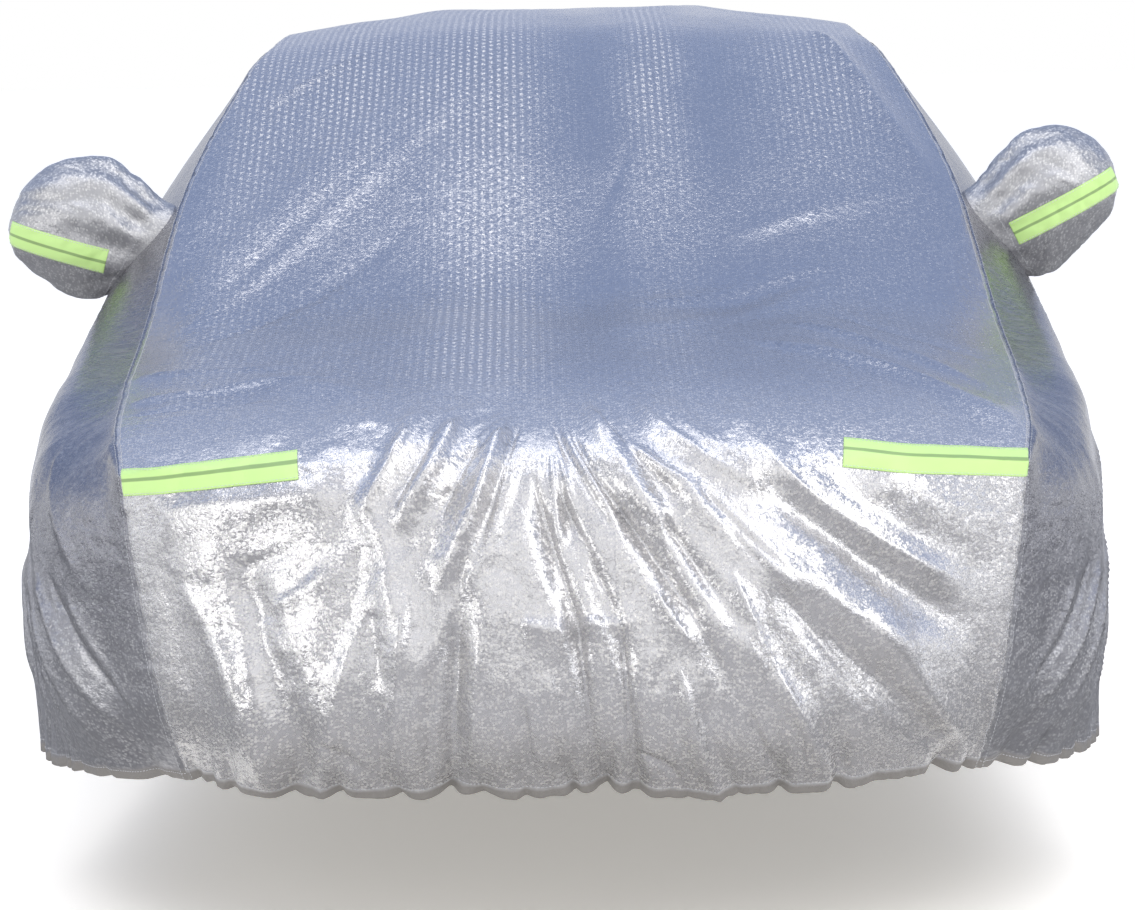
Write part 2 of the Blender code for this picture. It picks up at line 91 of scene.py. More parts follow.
# Rows of the middle panel from its front hem to its rear one. The seam is the edge that it
# shares with the side panels, which have no rows below the first and the last seam.
Section = namedtuple("Section", "centre_y centre_z seam_x seam_y seam_z", defaults=(None,) * 3)
SECTIONS = table(Section, (
    (0.08, 0.285),
    (0.0, 0.42),
    (0.02, 0.63),
    (0.105, 0.805, 0.718, 0.285, 0.77),
    (0.32, 0.885, 0.738, 0.47, 0.825),
    (0.74, 0.94, 0.75, 0.8, 0.87),
    (1.13, 0.99, 0.755, 1.2, 0.93),
    (1.58, 1.215, 0.718, 1.66, 1.15),
    (2.0, 1.388, 0.635, 2.11, 1.343),
    (2.32, 1.437, 0.6, 2.38, 1.392),
    (2.8, 1.45, 0.59, 2.8, 1.405),
    (3.25, 1.42, 0.58, 3.2, 1.372),
    (3.72, 1.255, 0.625, 3.62, 1.19),
    (4.08, 1.065, 0.69, 3.98, 1.005),
    (4.37, 0.99, 0.7, 4.2, 0.915),
    (4.48, 0.8),
    (4.49, 0.5),
    (4.42, 0.285),
))
# The right side panel below its seam, one row for each section that has a seam
Wall = namedtuple("Wall", "belt_x belt_y belt_z wide_x wide_y wide_z hem_x hem_y hem_z")
WALLS = table(Wall, (
    (0.694, 0.25, 0.6, 0.664, 0.235, 0.42, 0.63, 0.29, 0.28),
    (0.84, 0.48, 0.7, 0.835, 0.46, 0.48, 0.8, 0.49, 0.255),
    (0.885, 0.8, 0.79, 0.912, 0.79, 0.54, 0.9, 0.78, 0.23),
    (0.878, 1.2, 0.85, 0.912, 1.18, 0.56, 0.9, 1.15, 0.23),
    (0.872, 1.66, 0.92, 0.905, 1.62, 0.58, 0.885, 1.58, 0.235),
    (0.874, 2.11, 0.96, 0.903, 2.06, 0.59, 0.882, 2.02, 0.24),
    (0.88, 2.4, 0.965, 0.904, 2.38, 0.59, 0.882, 2.35, 0.24),
    (0.88, 2.8, 0.97, 0.905, 2.8, 0.59, 0.883, 2.8, 0.24),
    (0.872, 3.22, 0.965, 0.908, 3.25, 0.59, 0.888, 3.28, 0.24),
    (0.868, 3.64, 0.93, 0.905, 3.68, 0.59, 0.885, 3.7, 0.24),
    (0.845, 3.98, 0.83, 0.87, 3.99, 0.59, 0.85, 4.0, 0.25),
    (0.712, 4.29, 0.73, 0.715, 4.31, 0.5, 0.66, 4.26, 0.275),
))
# Levels of a side panel's hem, widest line, belt line and seam
WALL_LEVELS = np.array([0.0, 0.32, 0.62, 1.0])
SWEEP_POWER = 2.6
CROWN_POWER = 2.4
PULL = 0.066
PULL_HALF_WIDTH = 0.93
PULL_END = 2.5

FIRST_SEAM = next(i for i, row in enumerate(SECTIONS) if row.seam_x is not None)
LAST_SEAM = FIRST_SEAM + len(WALLS) - 1
LAST = len(SECTIONS) - 1
CENTRE_LINE = [(row.centre_y, row.centre_z) for row in SECTIONS]
SEAM_LINE = [row[2:] for row in SECTIONS[FIRST_SEAM:LAST_SEAM + 1]]
BELT_LINE = [row[:3] for row in WALLS]
WIDE_LINE = [row[3:6] for row in WALLS]
HEM_LINE = [row[6:] for row in WALLS]


def smoothstep(low, high, value):
    """0 below low, 1 above high, and a smooth rise between."""
    share = np.clip((np.asarray(value, float) - low) / (high - low), 0.0, 1.0)
    return share * share * (3.0 - 2.0 * share)


def running(steps):
    """0 and the running sum of the steps."""
    return np.concatenate([[0.0], np.cumsum(steps)])


def unit(vectors):
    """The vectors, each made one long."""
    return vectors / np.maximum(np.linalg.norm(vectors, axis=-1, keepdims=True), 1e-12)


def smooth_between(u, span, low, high, slope_low, slope_high):
    """The smooth curve from low to high, a share u along its span."""
    u, span = u[..., None], span[..., None]
    return (
        (1 + 2 * u) * (1 - u) ** 2 * low
        + u * (1 - u) ** 2 * span * slope_low
        + u * u * (3 - 2 * u) * high
        + u * u * (u - 1) * span * slope_high
    )


def through(knots, values, at):
    """Points on the smooth curve that passes through the values at the knots."""
    knots, values = np.asarray(knots, float), np.asarray(values, float)
    slopes = np.gradient(values, knots, axis=0)
    i = np.clip(np.searchsorted(knots, at, side="right") - 1, 0, len(knots) - 2)
    span = knots[i + 1] - knots[i]
    return smooth_between((at - knots[i]) / span, span, values[i], values[i + 1], slopes[i], slopes[i + 1])


def wall_points(level, station):
    """Points of the right wall: level runs from hem to seam, station counts the sections."""
    knots = np.arange(FIRST_SEAM, LAST_SEAM + 1)
    tables = (HEM_LINE, WIDE_LINE, BELT_LINE, SEAM_LINE)
    lines = np.array([through(knots, line, station) for line in tables])
    slopes = np.gradient(lines, WALL_LEVELS, axis=0)
    i = np.clip(np.searchsorted(WALL_LEVELS, level, side="right") - 1, 0, len(WALL_LEVELS) - 2)
    each = np.arange(len(station))
    span = WALL_LEVELS[i + 1] - WALL_LEVELS[i]
    u = (level - WALL_LEVELS[i]) / span
    return smooth_between(u, span, lines[i, each], lines[i + 1, each], slopes[i, each], slopes[i + 1, each])


END_SECTIONS = np.array([0, 1, 2, FIRST_SEAM, LAST_SEAM, LAST - 2, LAST - 1, LAST])
END_LEVELS = np.concatenate([WALL_LEVELS, WALL_LEVELS[::-1]])


def seam_points(station):
    """The right edge of the centre panel, from its front hem to its rear hem."""
    level = np.interp(station, END_SECTIONS, END_LEVELS)
    return wall_points(level, np.clip(station, FIRST_SEAM, LAST_SEAM))


def centre_points(station, across):
    """Points of the centre panel; across runs from -1 at the left seam to 1 at the right."""
    centre = through(np.arange(LAST + 1), CENTRE_LINE, station)
    seam = seam_points(station)
    sweep = np.abs(across) ** SWEEP_POWER
    crown = np.abs(across) ** CROWN_POWER
    return np.stack([
        seam[:, 0] * across,
        centre[:, 0] + (seam[:, 1] - centre[:, 0]) * sweep,
        centre[:, 1] + (seam[:, 2] - centre[:, 1]) * crown,
    ], axis=1)


def pull_at(x, y):
    """How far the cover is pulled to one side at a place."""
    share = np.sqrt(np.maximum(0.0, 1.0 - (x / PULL_HALF_WIDTH) ** 2))
    return PULL * share * np.maximum(0.0, 1.0 - y / PULL_END)


def pulled(places):
    """The places with the pull to one side added."""
    moved = places.copy()
    moved[:, 0] += pull_at(places[:, 0], places[:, 1])
    return moved


NORMAL_STEP = 0.001


def outward(surface, first, second):
    """The outward normals of a surface of two parameters."""
    along_first = surface(first + NORMAL_STEP, second) - surface(first - NORMAL_STEP, second)
    along_second = surface(first, second + NORMAL_STEP) - surface(first, second - NORMAL_STEP)
    return unit(np.cross(along_second, along_first))


def seam_normals(station):
    """The normals along the right seam, between those of the two panels that meet there."""
    level = np.interp(station, END_SECTIONS, END_LEVELS)
    ends = np.ones(len(station))
    along = np.clip(station, FIRST_SEAM, LAST_SEAM)
    return unit(outward(centre_points, station, ends) + outward(wall_points, level, along))


# ---------------------------------------------------------------- folds

Fold = namedtuple("Fold", "start_a start_b end_a end_b width height")
FOLD_REACH = 3.0
FOLD_END = 0.25
NOSE_FOLDS = table(Fold, (
    # Left of the middle
    (-0.6, 0.73, -0.37, 0.25, 0.05, 0.018),
    (-0.49, 0.68, -0.36, 0.26, 0.028, -0.015),
    (-0.4, 0.6, -0.31, 0.26, 0.035, 0.008),
    (-0.7, 0.69, -0.24, 0.78, 0.03, 0.009),
    (-0.18, 0.88, -0.3, 0.7, 0.02, 0.013),
    (-0.27, 0.76, -0.21, 0.46, 0.024, 0.012),
    (-0.12, 0.88, -0.24, 0.7, 0.018, 0.013),
    (-0.05, 0.88, -0.17, 0.6, 0.02, 0.016),
    (-0.13, 0.68, -0.16, 0.3, 0.026, -0.014),
    # The fan of sharp folds from the middle of the front edge
    (-0.03, 0.79, 0.06, 0.5, 0.018, -0.013),
    (0.0, 0.8, 0.13, 0.48, 0.018, -0.014),
    (0.04, 0.88, 0.2, 0.69, 0.018, 0.014),
    (0.09, 0.77, 0.24, 0.55, 0.018, -0.013),
    (0.16, 0.75, 0.31, 0.52, 0.018, -0.01),
    # Right of the middle
    (0.13, 0.89, 0.36, 0.75, 0.02, 0.013),
    (0.18, 0.79, 0.4, 0.58, 0.02, 0.011),
    (0.28, 0.66, 0.36, 0.3, 0.035, 0.008),
    (0.19, 0.66, 0.43, 0.36, 0.024, 0.009),
    (0.24, 0.86, 0.7, 0.55, 0.026, 0.019),
    (0.48, 0.8, 0.73, 0.63, 0.045, 0.014),
    (0.32, 0.8, 0.68, 0.48, 0.03, -0.019),
    (0.29, 0.68, 0.58, 0.48, 0.028, 0.011),
    (0.48, 0.58, 0.68, 0.28, 0.028, 0.013),
    (0.34, 0.64, 0.65, 0.3, 0.026, -0.014),
))
TOP_FOLDS = table(Fold, (
    # Soft lengthwise waves
    (-0.16, 0.5, -0.2, 2.45, 0.07, 0.009),
    (0.03, 0.55, 0.02, 2.45, 0.06, -0.008),
    (0.13, 0.55, 0.14, 2.4, 0.045, 0.007),
    (0.29, 0.6, 0.32, 2.4, 0.07, -0.009),
    (0.46, 0.65, 0.5, 2.3, 0.08, 0.007),
    (-0.26, 2.55, -0.32, 4.1, 0.08, 0.008),
    (0.0, 2.7, 0.04, 4.2, 0.07, -0.008),
    (0.24, 2.6, 0.32, 4.1, 0.08, 0.008),
    # Slanting pulls towards the pockets and the corners
    (-0.72, 1.2, -0.18, 1.95, 0.04, 0.009),
    (0.1, 0.7, 0.64, 1.34, 0.04, 0.009),
    (0.46, 2.32, 0.7, 1.48, 0.04, 0.008),
    (-0.76, 0.84, -0.26, 0.34, 0.04, 0.008),
    (0.34, 0.76, 0.78, 0.34, 0.04, 0.009),
    (-0.66, 3.9, -0.16, 3.0, 0.05, 0.008),
    (0.64, 3.8, 0.12, 3.05, 0.05, 0.008),
))
SIDE_FOLDS = table(Fold, (
    (1.66, 1.0, 1.3, 0.3, 0.07, 0.01),
    (1.74, 0.98, 2.1, 0.34, 0.07, -0.009),
    (2.3, 1.0, 2.42, 0.18, 0.09, 0.01),
    (2.66, 1.05, 2.7, 0.18, 0.08, -0.008),
    (3.02, 1.08, 2.98, 0.18, 0.09, 0.01),
    (3.42, 1.05, 3.5, 0.18, 0.08, -0.009),
    (3.74, 0.95, 3.92, 0.2, 0.09, 0.01),
))
LEFT_FOLDS = SIDE_FOLDS + table(Fold, (
    (0.66, 0.84, 0.34, 0.24, 0.06, 0.014),
    (0.86, 0.78, 0.58, 0.2, 0.06, -0.01),
    (1.06, 0.86, 0.88, 0.18, 0.07, 0.011),
))
RIGHT_FOLDS = SIDE_FOLDS + table(Fold, (
    (0.6, 0.8, 0.4, 0.22, 0.06, 0.012),
    (0.8, 0.84, 0.66, 0.2, 0.06, -0.011),
    (1.02, 0.82, 0.94, 0.18, 0.07, 0.011),
))
TAIL_FOLDS = table(Fold, (
    (-0.08, 1.02, -0.26, 0.24, 0.045, 0.011),
    (0.06, 1.0, 0.1, 0.24, 0.04, -0.01),
    (0.12, 1.02, 0.34, 0.24, 0.045, 0.011),
    (-0.28, 0.98, -0.62, 0.3, 0.045, 0.012),
    (0.3, 0.98, 0.62, 0.3, 0.045, 0.012),
))
NOSE_END = 0.9
TAIL_START = 4.0
SIDE_FACING = (0.45, 0.75)
TOP_FACING = (0.30, 0.60)


def beside(line, a, b):
    """How far points are along a line, as a share of it, and how far to one side of it."""
    run_a, run_b = line.end_a - line.start_a, line.end_b - line.start_b
    length = math.hypot(run_a, run_b)
    from_a, from_b = a - line.start_a, b - line.start_b
    along = (from_a * run_a + from_b * run_b) / length ** 2
    return along, (from_a * run_b - from_b * run_a) / length


def fold_height(folds, a, b):
    """Height of the folds of one table at points of their plane."""
    height = np.zeros(len(a))
    for fold in folds:
        along, aside = beside(fold, a, b)
        near = (along > 0.0) & (along < 1.0) & (np.abs(aside) < FOLD_REACH * fold.width)
        along, aside = along[near], aside[near]
        ends = smoothstep(0.0, FOLD_END, along) * (1.0 - smoothstep(1.0 - FOLD_END, 1.0, along))
        height[near] += fold.height * ends * np.exp(-(aside / fold.width) ** 2)
    return height


def lift(places, normals):
    """How far the folds raise the sheet at its places."""
    x, y, z = places.T
    sideways = smoothstep(*SIDE_FACING, np.abs(normals[:, 0]))
    sides = np.where(x < 0, fold_height(LEFT_FOLDS, y, z), fold_height(RIGHT_FOLDS, y, z))
    ends = np.where(y < NOSE_END, fold_height(NOSE_FOLDS, x, z), 0.0)
    ends += np.where(y > TAIL_START, fold_height(TAIL_FOLDS, x, z), 0.0)
    top = smoothstep(*TOP_FACING, normals[:, 2]) * fold_height(TOP_FOLDS, x, y)
    return sideways * sides + (1.0 - sideways) * ends + top


# ---------------------------------------------------------------- small creases

Crease = namedtuple("Crease", "start_a start_b end_a end_b bow width height lean")
NOSE_CREASES = table(Crease, (
    # Left of the middle
    (-0.62, 0.715, -0.28, 0.75, -0.01, 0.02, 0.003, -0.4),
    (-0.61, 0.66, -0.46, 0.4, -0.015, 0.012, 0.005, 0.4),
    (-0.6, 0.68, -0.34, 0.12, -0.006, 0.06, 0.015, 0.5),
    (-0.52, 0.62, -0.35, 0.2, 0.01, 0.014, -0.009, 0.4),
    (-0.44, 0.58, -0.32, 0.66, 0.006, 0.016, 0.006, 0.5),
    (-0.44, 0.57, -0.4, 0.5, 0.004, 0.01, 0.006, 0.3),
    (-0.36, 0.39, -0.28, 0.32, -0.006, 0.007, -0.007, 0.5),
    (-0.2, 0.85, -0.29, 0.72, 0.003, 0.012, 0.012, 0.4),
    (-0.17, 0.84, -0.24, 0.72, 0.003, 0.008, -0.012, 0.4),
    (-0.13, 0.86, -0.2, 0.73, 0.003, 0.012, 0.012, 0.4),
    (-0.1, 0.84, -0.17, 0.71, 0.003, 0.008, -0.012, 0.4),
    (-0.06, 0.86, -0.13, 0.66, 0.004, 0.014, 0.012, 0.3),
    (-0.04, 0.86, -0.11, 0.66, 0.002, 0.008, -0.012, 0.4),
    (-0.12, 0.7, -0.14, 0.58, 0.0, 0.008, -0.007, 0.3),
    (-0.21, 0.62, -0.24, 0.33, 0.006, 0.014, 0.006, 0.4),
    (-0.27, 0.6, -0.25, 0.46, 0.004, 0.01, -0.006, 0.4),
    (-0.63, 0.655, -0.5, 0.61, 0.02, 0.018, -0.006, 0.3),
    (-0.5, 0.64, -0.36, 0.7, 0.01, 0.018, -0.0045, 0.3),
    (-0.66, 0.58, -0.52, 0.31, -0.01, 0.014, 0.007, 0.4),
    (-0.29, 0.58, -0.4, 0.08, 0.004, 0.02, 0.012, 0.4),
    (-0.135, 0.62, -0.175, 0.05, 0.0, 0.03, -0.015, 0.3),
    (-0.1, 0.56, -0.12, 0.3, 0.006, 0.012, 0.006, 0.4),
    (-0.04, 0.46, -0.02, 0.29, 0.004, 0.012, -0.008, 0.4),
    (-0.17, 0.52, -0.19, 0.28, 0.006, 0.012, -0.009, 0.4),
    (0.0, 0.5, 0.01, 0.32, -0.006, 0.018, 0.006, 0.4),
    # The fan
    (-0.025, 0.8, 0.05, 0.545, 0.0, 0.008, -0.011, 0.2),
    (0.04, 0.62, 0.095, 0.05, 0.0, 0.016, -0.015, 0.2),
    (0.015, 0.78, 0.125, 0.53, 0.0, 0.008, -0.012, 0.2),
    (0.105, 0.62, 0.165, 0.02, 0.003, 0.015, -0.015, 0.2),
    (-0.045, 0.57, 0.055, 0.555, 0.004, 0.022, 0.012, 0.5),
    (0.05, 0.572, 0.135, 0.56, 0.004, 0.022, 0.012, 0.5),
    (0.0, 0.87, 0.115, 0.68, 0.0, 0.006, -0.009, 0.3),
    (0.015, 0.87, 0.13, 0.69, 0.004, 0.007, 0.008, 0.3),
    (0.03, 0.85, 0.155, 0.68, 0.004, 0.007, -0.01, 0.4),
    (0.045, 0.85, 0.165, 0.7, 0.006, 0.006, 0.007, 0.4),
    (0.045, 0.85, 0.18, 0.69, 0.008, 0.005, -0.008, 0.4),
    (0.1, 0.76, 0.22, 0.575, 0.0, 0.008, -0.01, 0.3),
    (0.17, 0.735, 0.27, 0.585, 0.0, 0.008, -0.009, 0.4),
    (0.16, 0.62, 0.23, 0.52, 0.004, 0.01, 0.008, 0.3),
    (0.13, 0.36, 0.2, 0.31, -0.012, 0.007, -0.008, 0.3),
    # Right of the middle
    (0.05, 0.88, 0.26, 0.75, 0.012, 0.012, 0.012, 0.4),
    (0.08, 0.87, 0.23, 0.73, 0.006, 0.009, -0.012, 0.4),
    (0.12, 0.885, 0.34, 0.755, 0.01, 0.014, 0.011, 0.5),
    (0.22, 0.78, 0.4, 0.6, 0.006, 0.01, -0.008, 0.5),
    (0.16, 0.71, 0.31, 0.4, 0.004, 0.012, -0.008, 0.4),
    (0.25, 0.73, 0.54, 0.345, -0.01, 0.014, -0.009, 0.4),
    (0.28, 0.64, 0.35, 0.48, 0.004, 0.012, 0.007, 0.3),
    (0.33, 0.81, 0.65, 0.59, 0.012, 0.009, 0.007, 0.6),
    (0.41, 0.56, 0.6, 0.39, 0.01, 0.012, -0.006, 0.5),
    (0.54, 0.51, 0.65, 0.34, 0.01, 0.01, 0.006, 0.4),
    (0.62, 0.37, 0.58, 0.32, 0.006, 0.007, -0.007, 0.3),
    (0.19, 0.52, 0.33, 0.05, 0.004, 0.018, 0.012, 0.4),
    (0.33, 0.52, 0.56, 0.08, 0.006, 0.02, 0.012, 0.4),
    (0.3, 0.44, 0.36, 0.3, 0.006, 0.01, -0.006, 0.4),
))
TOP_CREASES = table(Crease, (
    # The low front part
    (-0.74, 0.62, -0.3, 0.52, 0.03, 0.026, 0.008, -0.5),
    (-0.76, 0.8, -0.36, 0.62, 0.02, 0.024, 0.007, -0.5),
    (-0.7, 0.52, -0.42, 0.42, 0.01, 0.018, -0.006, -0.5),
    (0.36, 0.9, 0.75, 0.52, -0.02, 0.024, 0.008, -0.5),
    (0.3, 0.72, 0.68, 0.44, -0.01, 0.02, 0.007, -0.5),
    (0.44, 0.98, 0.76, 0.74, -0.01, 0.02, -0.006, -0.5),
    # The front slope
    (-0.72, 1.04, -0.08, 1.98, 0.03, 0.05, 0.0085, -0.5),
    (-0.7, 1.16, -0.2, 1.84, 0.01, 0.042, 0.007, -0.5),
    (-0.66, 0.94, -0.24, 1.4, 0.02, 0.024, -0.008, -0.5),
    (0.1, 0.96, 0.64, 1.3, -0.02, 0.034, 0.009, -0.5),
    (0.3, 1.3, 0.68, 1.58, 0.02, 0.03, 0.006, -0.5),
    (0.48, 2.26, 0.7, 1.56, 0.01, 0.026, 0.011, -0.5),
    (-0.6, 1.86, -0.34, 2.1, 0.0, 0.028, 0.009, -0.5),
    (0.06, 1.3, 0.24, 2.1, 0.01, 0.022, -0.006, -0.5),
    # The high part and the rear
    (-0.5, 2.3, -0.16, 3.1, 0.02, 0.024, -0.003, -0.5),
    (0.46, 2.4, 0.12, 3.2, 0.02, 0.024, -0.003, -0.5),
    (-0.6, 3.9, -0.1, 3.2, 0.02, 0.026, 0.008, -0.5),
    (0.58, 3.9, 0.16, 3.24, -0.02, 0.026, 0.008, -0.5),
))
FRONT_CREASES = table(Crease, (
    (0.95, 0.58, 0.72, 0.27, 0.012, 0.016, 0.014, 0.4),
    (0.83, 0.6, 0.58, 0.27, 0.014, 0.014, 0.014, 0.4),
    (0.72, 0.62, 0.46, 0.29, 0.01, 0.014, 0.015, 0.4),
    (0.61, 0.64, 0.37, 0.29, 0.01, 0.012, 0.013, 0.4),
    (0.51, 0.6, 0.31, 0.31, 0.006, 0.011, 0.012, 0.4),
    (0.41, 0.58, 0.27, 0.34, 0.004, 0.008, 0.006, 0.3),
    (0.46, 0.6, 0.29, 0.36, 0.004, 0.008, -0.007, 0.3),
    (1.3, 0.5, 1.16, 0.24, 0.01, 0.014, 0.006, 0.4),
))
REAR_CREASES = table(Crease, (
    (1.58, 0.93, 1.22, 0.62, -0.02, 0.014, 0.007, 0.4),
    (1.7, 0.9, 1.94, 0.52, 0.016, 0.014, 0.007, 0.4),
    (1.52, 0.98, 1.04, 0.84, -0.016, 0.014, 0.006, 0.4),
    (1.8, 1.0, 2.26, 0.84, 0.02, 0.014, 0.006, 0.4),
    (2.2, 0.56, 2.26, 0.24, 0.01, 0.014, 0.006, 0.4),
    (2.86, 0.6, 2.8, 0.24, 0.01, 0.014, -0.006, 0.4),
    (3.3, 0.62, 3.42, 0.24, 0.01, 0.016, 0.006, 0.4),
    (3.78, 0.8, 4.14, 0.34, 0.014, 0.014, 0.007, 0.4),
    (3.92, 0.56, 4.1, 0.28, 0.01, 0.012, -0.006, 0.4),
))
LEFT_CREASES = FRONT_CREASES + REAR_CREASES + table(Crease, (
    (0.58, 0.8, 0.34, 0.56, 0.01, 0.014, 0.006, 0.4),
))
RIGHT_CREASES = FRONT_CREASES + REAR_CREASES + table(Crease, (
    (0.74, 0.78, 0.5, 0.46, -0.01, 0.014, 0.008, 0.4),
))
CREASE_SHARPNESS = 1.25


def crease_height(creases, a, b):
    """Height of the curved creases of one table, steeper on one flank than on the other."""
    height = np.zeros(len(a))
    for crease in creases:
        along, aside = beside(crease, a, b)
        near = (along > 0.0) & (along < 1.0)
        along, aside = along[near], aside[near]
        aside = aside - crease.bow * 4.0 * along * (1.0 - along)
        width = crease.width * (0.5 + 0.5 * smoothstep(0.0, 0.6, along))
        flank = width * (1.0 + crease.lean * np.tanh(aside / width * 2.0))
        ends = smoothstep(0.0, 0.2, along) * (1.0 - smoothstep(0.6, 1.0, along))
        height[near] += crease.height * ends * np.exp(-np.abs(aside / flank) ** CREASE_SHARPNESS)
    return height


ROUGH_SIDE = 64


def rough(a, b, size, seed):
    """Smooth random heights between -1 and 1, which change over about one size."""
    knots = np.random.default_rng(seed).uniform(-1.0, 1.0, (ROUGH_SIDE, ROUGH_SIDE))
    a, b = a / size, b / size
    low_a, low_b = np.floor(a).astype(int), np.floor(b).astype(int)
    u, v = smoothstep(0.0, 1.0, a - low_a), smoothstep(0.0, 1.0, b - low_b)
    near, far = low_a % ROUGH_SIDE, (low_a + 1) % ROUGH_SIDE
    low, high = low_b % ROUGH_SIDE, (low_b + 1) % ROUGH_SIDE
    lower = knots[near, low] * (1 - u) + knots[far, low] * u
    upper = knots[near, high] * (1 - u) + knots[far, high] * u
    return lower * (1 - v) + upper * v


def crumple(a, b, size, seed):
    """Random heights with crisp valleys, as crumpled film has."""
    bend_a = a + 0.4 * size * rough(a, b, size * 1.7, seed + 1)
    bend_b = b + 0.4 * size * rough(a, b, size * 1.7, seed + 2)
    first = np.abs(rough(bend_a, bend_b, size, seed))
    turned_a, turned_b = bend_b * 0.8 + bend_a * 0.6, bend_b * 0.6 - bend_a * 0.8
    second = np.abs(rough(turned_a, turned_b, size * 0.45, seed + 3))
    return first + 0.45 * second - 0.5


# The fan: pleats that run out from one place at the middle of the front edge
FAN_PLACE = (0.0, 0.885)
PLEAT_ANGLE = math.radians(10.0)
PLEAT_HEIGHT = 0.009
PLEAT_REACH = (0.02, 0.10, 0.28, 0.50)
SWEEP_ANGLE = math.radians(13.0)
SWEEP_HEIGHT = 0.014
SWEEP_REACH = (0.12, 0.34)


def fan_height(x, z):
    """Height of the fan: sharp pleats near its middle, and broad folds down to the hem."""
    from_x, from_z = x - FAN_PLACE[0], FAN_PLACE[1] - z
    reach = np.hypot(from_x, from_z)
    turn = np.arctan2(from_x, np.maximum(from_z, 0.0)) + 0.05 * rough(reach, x, 0.11, 81)
    low, full, less, none = PLEAT_REACH
    near = smoothstep(low, full, reach) * (1.0 - smoothstep(less, none, reach))
    pleat = 0.5 - np.abs(rough(turn + 4.0, reach * 0.35, PLEAT_ANGLE, 83)) ** 0.8
    sweep = rough(turn + 9.0, reach * 0.30, SWEEP_ANGLE, 85)
    height = PLEAT_HEIGHT * near * pleat + SWEEP_HEIGHT * smoothstep(*SWEEP_REACH, reach) * sweep
    return height * (from_z > 0.0) * smoothstep(0.0, 0.04, from_z)


# The elastic pinches the hem at uneven places
Pinches = namedtuple("Pinches", "places depths widths heights slants")
PINCH_STEP = (0.030, 0.100)
PINCH_DEPTH = (0.004, 0.024)
PINCH_WIDTH = (0.007, 0.018)
PINCH_HEIGHT = (0.030, 0.120)
PINCH_SLANT = 0.35
PINCH_LIFT = 0.25
PINCH_TOP = 0.3
MOST_PINCHES = 200
# A distance from the hem at which nothing is pinched, or from a pocket's sheet
FAR_OFF = 9.0
RUFFLE_SIZE = 0.013
RUFFLE_DEPTH = 0.0030
RUFFLE_REACH = 0.035


def pinches(low, high, seed):
    """The pinches of a hem between two places along it."""
    chance = np.random.default_rng(seed)
    places = low + np.cumsum(chance.uniform(*PINCH_STEP, MOST_PINCHES))
    places = places[places < high]
    count = len(places)
    return Pinches(
        places,
        chance.uniform(*PINCH_DEPTH, count),
        chance.uniform(*PINCH_WIDTH, count),
        chance.uniform(*PINCH_HEIGHT, count),
        chance.uniform(-PINCH_SLANT, PINCH_SLANT, count),
    )


def pinch_depth(hem, along, above):
    """How deep the pinches of a hem draw the cloth in, at places above it."""
    depth = np.zeros(len(along))
    low = above < PINCH_TOP
    along, above = along[low], above[low]
    for place, deepest, width, height, slant in zip(*hem):
        aside = (along - place - slant * above) / (width * (1.0 + above / height))
        depth[low] += deepest * np.exp(-np.abs(aside) ** 1.5 - above / height)
    return depth


NOSE_PINCHES = pinches(-0.75, 0.80, 11)
TAIL_PINCHES = pinches(-0.75, 0.75, 12)
LEFT_PINCHES = pinches(0.25, 4.35, 13)
RIGHT_PINCHES = pinches(0.25, 4.35, 14)


# ---------------------------------------------------------------- fine sheets

CENTRE_COLUMNS = 268
CENTRE_ROWS = 356
WALL_ROWS = 116
WALL_COLUMNS = 420
# Where the length of a row or a column is measured, and where the front half ends
PACE_LINE = 0.4
MIDDLE_Y = 2.0
SEAM_BLEND = 0.08
SEAM_DEPTH = 0.0028
SEAM_WIDTH = 0.0045
PUCKER_DEPTH = 0.0016
PUCKER_REACH = 0.022
HEM_TURN = 0.022
HEM_TURN_RISE = 0.006
HEM_TURN_SAG = 0.003
HEM_TURN_ROWS = 6


def spread(density, count, low, high, samples=4000):
    """count + 1 places from low to high, closer together where the density is greater."""
    fine = np.linspace(low, high, samples)
    weight = density(fine)
    total = running((weight[1:] + weight[:-1]) / 2)
    return np.interp(np.linspace(0.0, total[-1], count + 1), total, fine)


def pace(surface, at, other):
    """How many metres one unit of a surface's first parameter is, at a line of the second."""
    step = surface(at + NORMAL_STEP, other) - surface(at - NORMAL_STEP, other)
    return np.linalg.norm(step, axis=1) / (2 * NORMAL_STEP)


def centre_rows():
    """Stations of the rows of the middle panel, closest together at the nose."""
    def density(station):
        metres = pace(centre_points, station, np.full(len(station), PACE_LINE))
        place = through(np.arange(LAST + 1), CENTRE_LINE, station)[:, 0]
        nose = 1.0 - smoothstep(0.25, 0.60, place)
        front = 1.0 - smoothstep(1.8, 2.2, place)
        return metres * (1.0 + 7.2 * nose + 2.0 * front + smoothstep(4.2, 4.4, place))
    return spread(density, CENTRE_ROWS, 0.0, float(LAST))


def centre_columns():
    """Places across the middle panel, closer together in the middle and at the seams."""
    def density(across):
        middle = 1.0 - smoothstep(0.38, 0.60, np.abs(across))
        return 1.0 + 1.3 * middle + 3.0 * np.exp(-((1.0 - np.abs(across)) / 0.015) ** 2)
    return spread(density, CENTRE_COLUMNS, -1.0, 1.0)


def wall_levels():
    """Levels of the rows of a side panel, closer together at the hem and the seam."""
    def density(level):
        return 1.0 + 3.0 * np.exp(-((1.0 - level) / 0.02) ** 2) + 0.8 * np.exp(-(level / 0.1) ** 2)
    return spread(density, WALL_ROWS, 0.0, 1.0)


